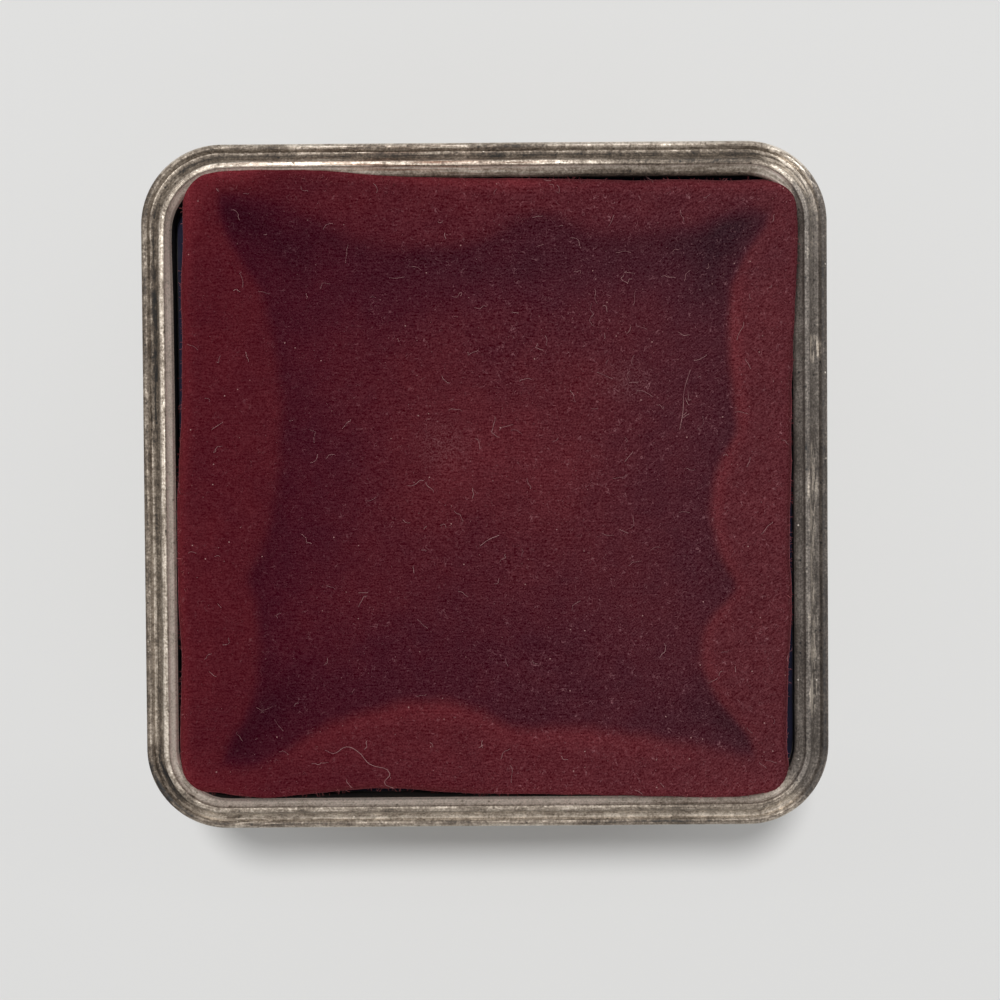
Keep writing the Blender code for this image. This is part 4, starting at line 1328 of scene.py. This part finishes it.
def recessFinish():  # blackened silver under the panel, navy where it shows in the gaps: painted shade of the deep gap as well as dark metal
    material, t, shader, place = newFinish("recessPlate", 0.6, 0.15)
    low, high = (corner.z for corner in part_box("lid_plate"))
    under = t.remap(t.axis(place, 2), low * 0.7 + high * 0.3, low * 0.6 + high * 0.4, 1.0, 0.0)  # bare below
    stain = t.noise(place, 1.8 * mm, 4.0, 0.6, 0.3)
    navyShade = t.ramp(stain, [(0.30, (0.004, 0.004, 0.012)), (0.52, (0.007, 0.007, 0.021)),
                          (0.75, (0.022, 0.020, 0.036))])
    bare = t.ramp(stain, [(0.3, (0.42, 0.37, 0.31)), (0.7, (0.19, 0.155, 0.12))])
    t.feed(shader, {
        "Base Color": t.mix(under, navyShade, bare), "Specular IOR Level": 0.08,
        "Metallic": t.remap(under, 0.0, 1.0, 0.15, 0.75), "Roughness": t.remap(stain, 0.3, 0.7, 0.45, 0.75)})
    t.bump(shader, stain, 0.4, 0.04 * mm)
    return material


def dressNode(name, material):
    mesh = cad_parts[name].data
    mesh.materials.clear()
    mesh.materials.append(material)


print("building metal")
buildLidRim()
buildFootRim()
buildBodyShell()
buildMouthLip()

print("building velvet")
topVelvet = velvetFinish("wineVelvetTop", [((-3.8, 3.7, 35), (3.6, 3.2, 6), 0.010),
                                           ((13, 9.7, 35), (3.4, 2.4, 6), 0.010)])
plainVelvet = velvetFinish("wineVelvet")
lidTop = buildPanel("lidTopVelvet", "lid", "lid_top", 1, lidPanel, topVelvet)
buildPanel("lidLiningVelvet", "lid", "lid_lining", -1, liningPanel, plainVelvet)
buildPanel("floorVelvet", "body", "floor", 1, floorPanel, plainVelvet)
buildPanel("baseVelvet", "body", "base", -1, basePanel, plainVelvet)
buildSideLining(plainVelvet)

print("building lint")
buildLint(lidTop)

print("building hinge")
barrelRow = barrelTree()
leafMetal = hingeFinish("hingeSilver", (1.0, 0.97, 0.92))
buildLeaf("bodyLeaf", "body_hinge_leaf", "body", 0, leafMetal)
buildLeaf("lidLeaf", "lid_hinge_leaf", "lid", 1, leafMetal)
buildPin(hingeFinish("pinSteel", (0.92, 0.95, 1.0)))

card = cardFinish()
for board in ("lid_top_board", "lid_lining_board", "floor_board", "base_board", "side_card"):
    dressNode(board, card)
dressNode("lid_plate", recessFinish())


# Floor, light and camera

studio = {
    "floor": (0.70, 0.70, 0.695),
    "floorHalf": 3.0,
    "floorDrop": 0.02 * mm,
    "pale": (0.745, 0.745, 0.735, 1),  # what the camera sees behind the box
    "glow": 0.45,  # share of that on the floor, none in the shadow in front
    "shadow": ((0, -outline["half"] / mm - 6.5, 0), (75, 10.5, 1000)),  # oval in front where the glow is left out, a painted shadow over the real one: middle and reach in millimetres
    "fade": (400, 400, 1000),
    "worldLight": 0.43,
    "keyPower": 2.92,
    "keySize": 0.08,
    "keyPlace": Vector((-0.02, 0.16, 0.65)),
    "fillPower": 0.3,
    "fillSize": 0.9,
    "fillPlace": Vector((0.35, -0.45, 0.60)),
}
lens = {
    "height": 165 * mm,  # above the lid
    "back": 3.6 * mm,
    "focal": 64.5,
    "aim": Vector((1.30 * mm, -1.30 * mm, cadHigh.z)),
    "roll": -0.42,
}


def buildFloor():
    half, low = studio["floorHalf"], -studio["floorDrop"]
    mesh = bpy.data.meshes.new("floor")
    corners = [(-half, -half, low), (half, -half, low), (half, half, low), (-half, half, low)]
    mesh.from_pydata(corners, [], [(0, 1, 2, 3)])
    material, t, shader, place = newFinish("paleFloor", 0.9)
    darker, paler = ((*[c * share for c in studio["floor"]], 1) for share in (0.985, 1.015))
    t.feed(shader, {"Base Color": t.mix(t.noise(place, 60 * mm, 2.0), darker, paler),
                    "Specular IOR Level": 0.1})
    around = t.spot(place, (0, 0, 0), studio["fade"])
    glow = t.remap(around, 0.0, 1.0, 1.0, studio["glow"])  # the floor turns into the backdrop further out
    share = t.times(glow, t.math("SUBTRACT", 1.0, t.spot(place, *studio["shadow"])))
    pale = t.add("Emission", {"Color": studio["pale"], "Strength": 1.0})
    shown = t.add("MixShader", {0: t.times(share, t.seenDirectly()), 1: shader.outputs[0], 2: pale})
    t.feed(t.tree.nodes["Material Output"], {"Surface": shown})
    addObject("floor", mesh, material)


def buildLight():
    world = bpy.data.worlds.new("studio")
    bpy.context.scene.world = world
    world.use_nodes = True
    t = Nodes(world.node_tree)
    t.tree.nodes.clear()
    up = t.axis(t.add("TexCoord", out="Generated"), 2)
    sky = t.ramp(t.remap(up, -1.0, 1.0), [(0.0, 0.40), (0.5, 0.50), (0.62, 0.80), (1.0, 1.0)])
    lit = t.add("Background", {"Color": sky, "Strength": studio["worldLight"]})
    pale = t.add("Background", {"Color": studio["pale"], "Strength": 1.0})
    shown = t.add("MixShader", {0: t.seenDirectly(), 1: lit, 2: pale})
    t.node("ShaderNodeOutputWorld", {0: shown})
    for name in ("key", "fill"):
        lamp = bpy.data.lights.new(name, "AREA")
        lamp.shape = "DISK"
        lamp.size = studio[name + "Size"]
        lamp.energy = studio[name + "Power"]
        holder = addObject(name, lamp)
        holder.location = studio[name + "Place"]
        holder.rotation_euler = (-holder.location).to_track_quat("-Z", "Y").to_euler()


def buildCamera():
    camera = bpy.data.cameras.new("camera")
    camera.sensor_width = 36.0
    camera.lens = lens["focal"]
    camera.clip_start = 0.01
    camera.clip_end = 20.0
    holder = addObject("camera", camera)
    holder.location = lens["aim"] + Vector((0, lens["back"], lens["height"]))
    back = (holder.location - lens["aim"]).normalized()
    right = Vector((0, 1, 0)).cross(back).normalized()
    turned = Matrix((right, back.cross(right), back)).transposed()
    holder.rotation_euler = (turned @ Matrix.Rotation(math.radians(lens["roll"]), 3, "Z")).to_euler()
    bpy.context.scene.camera = holder


buildFloor()
buildLight()
buildCamera()
bpy.context.scene.view_settings.view_transform = "Standard"

print("scene done")
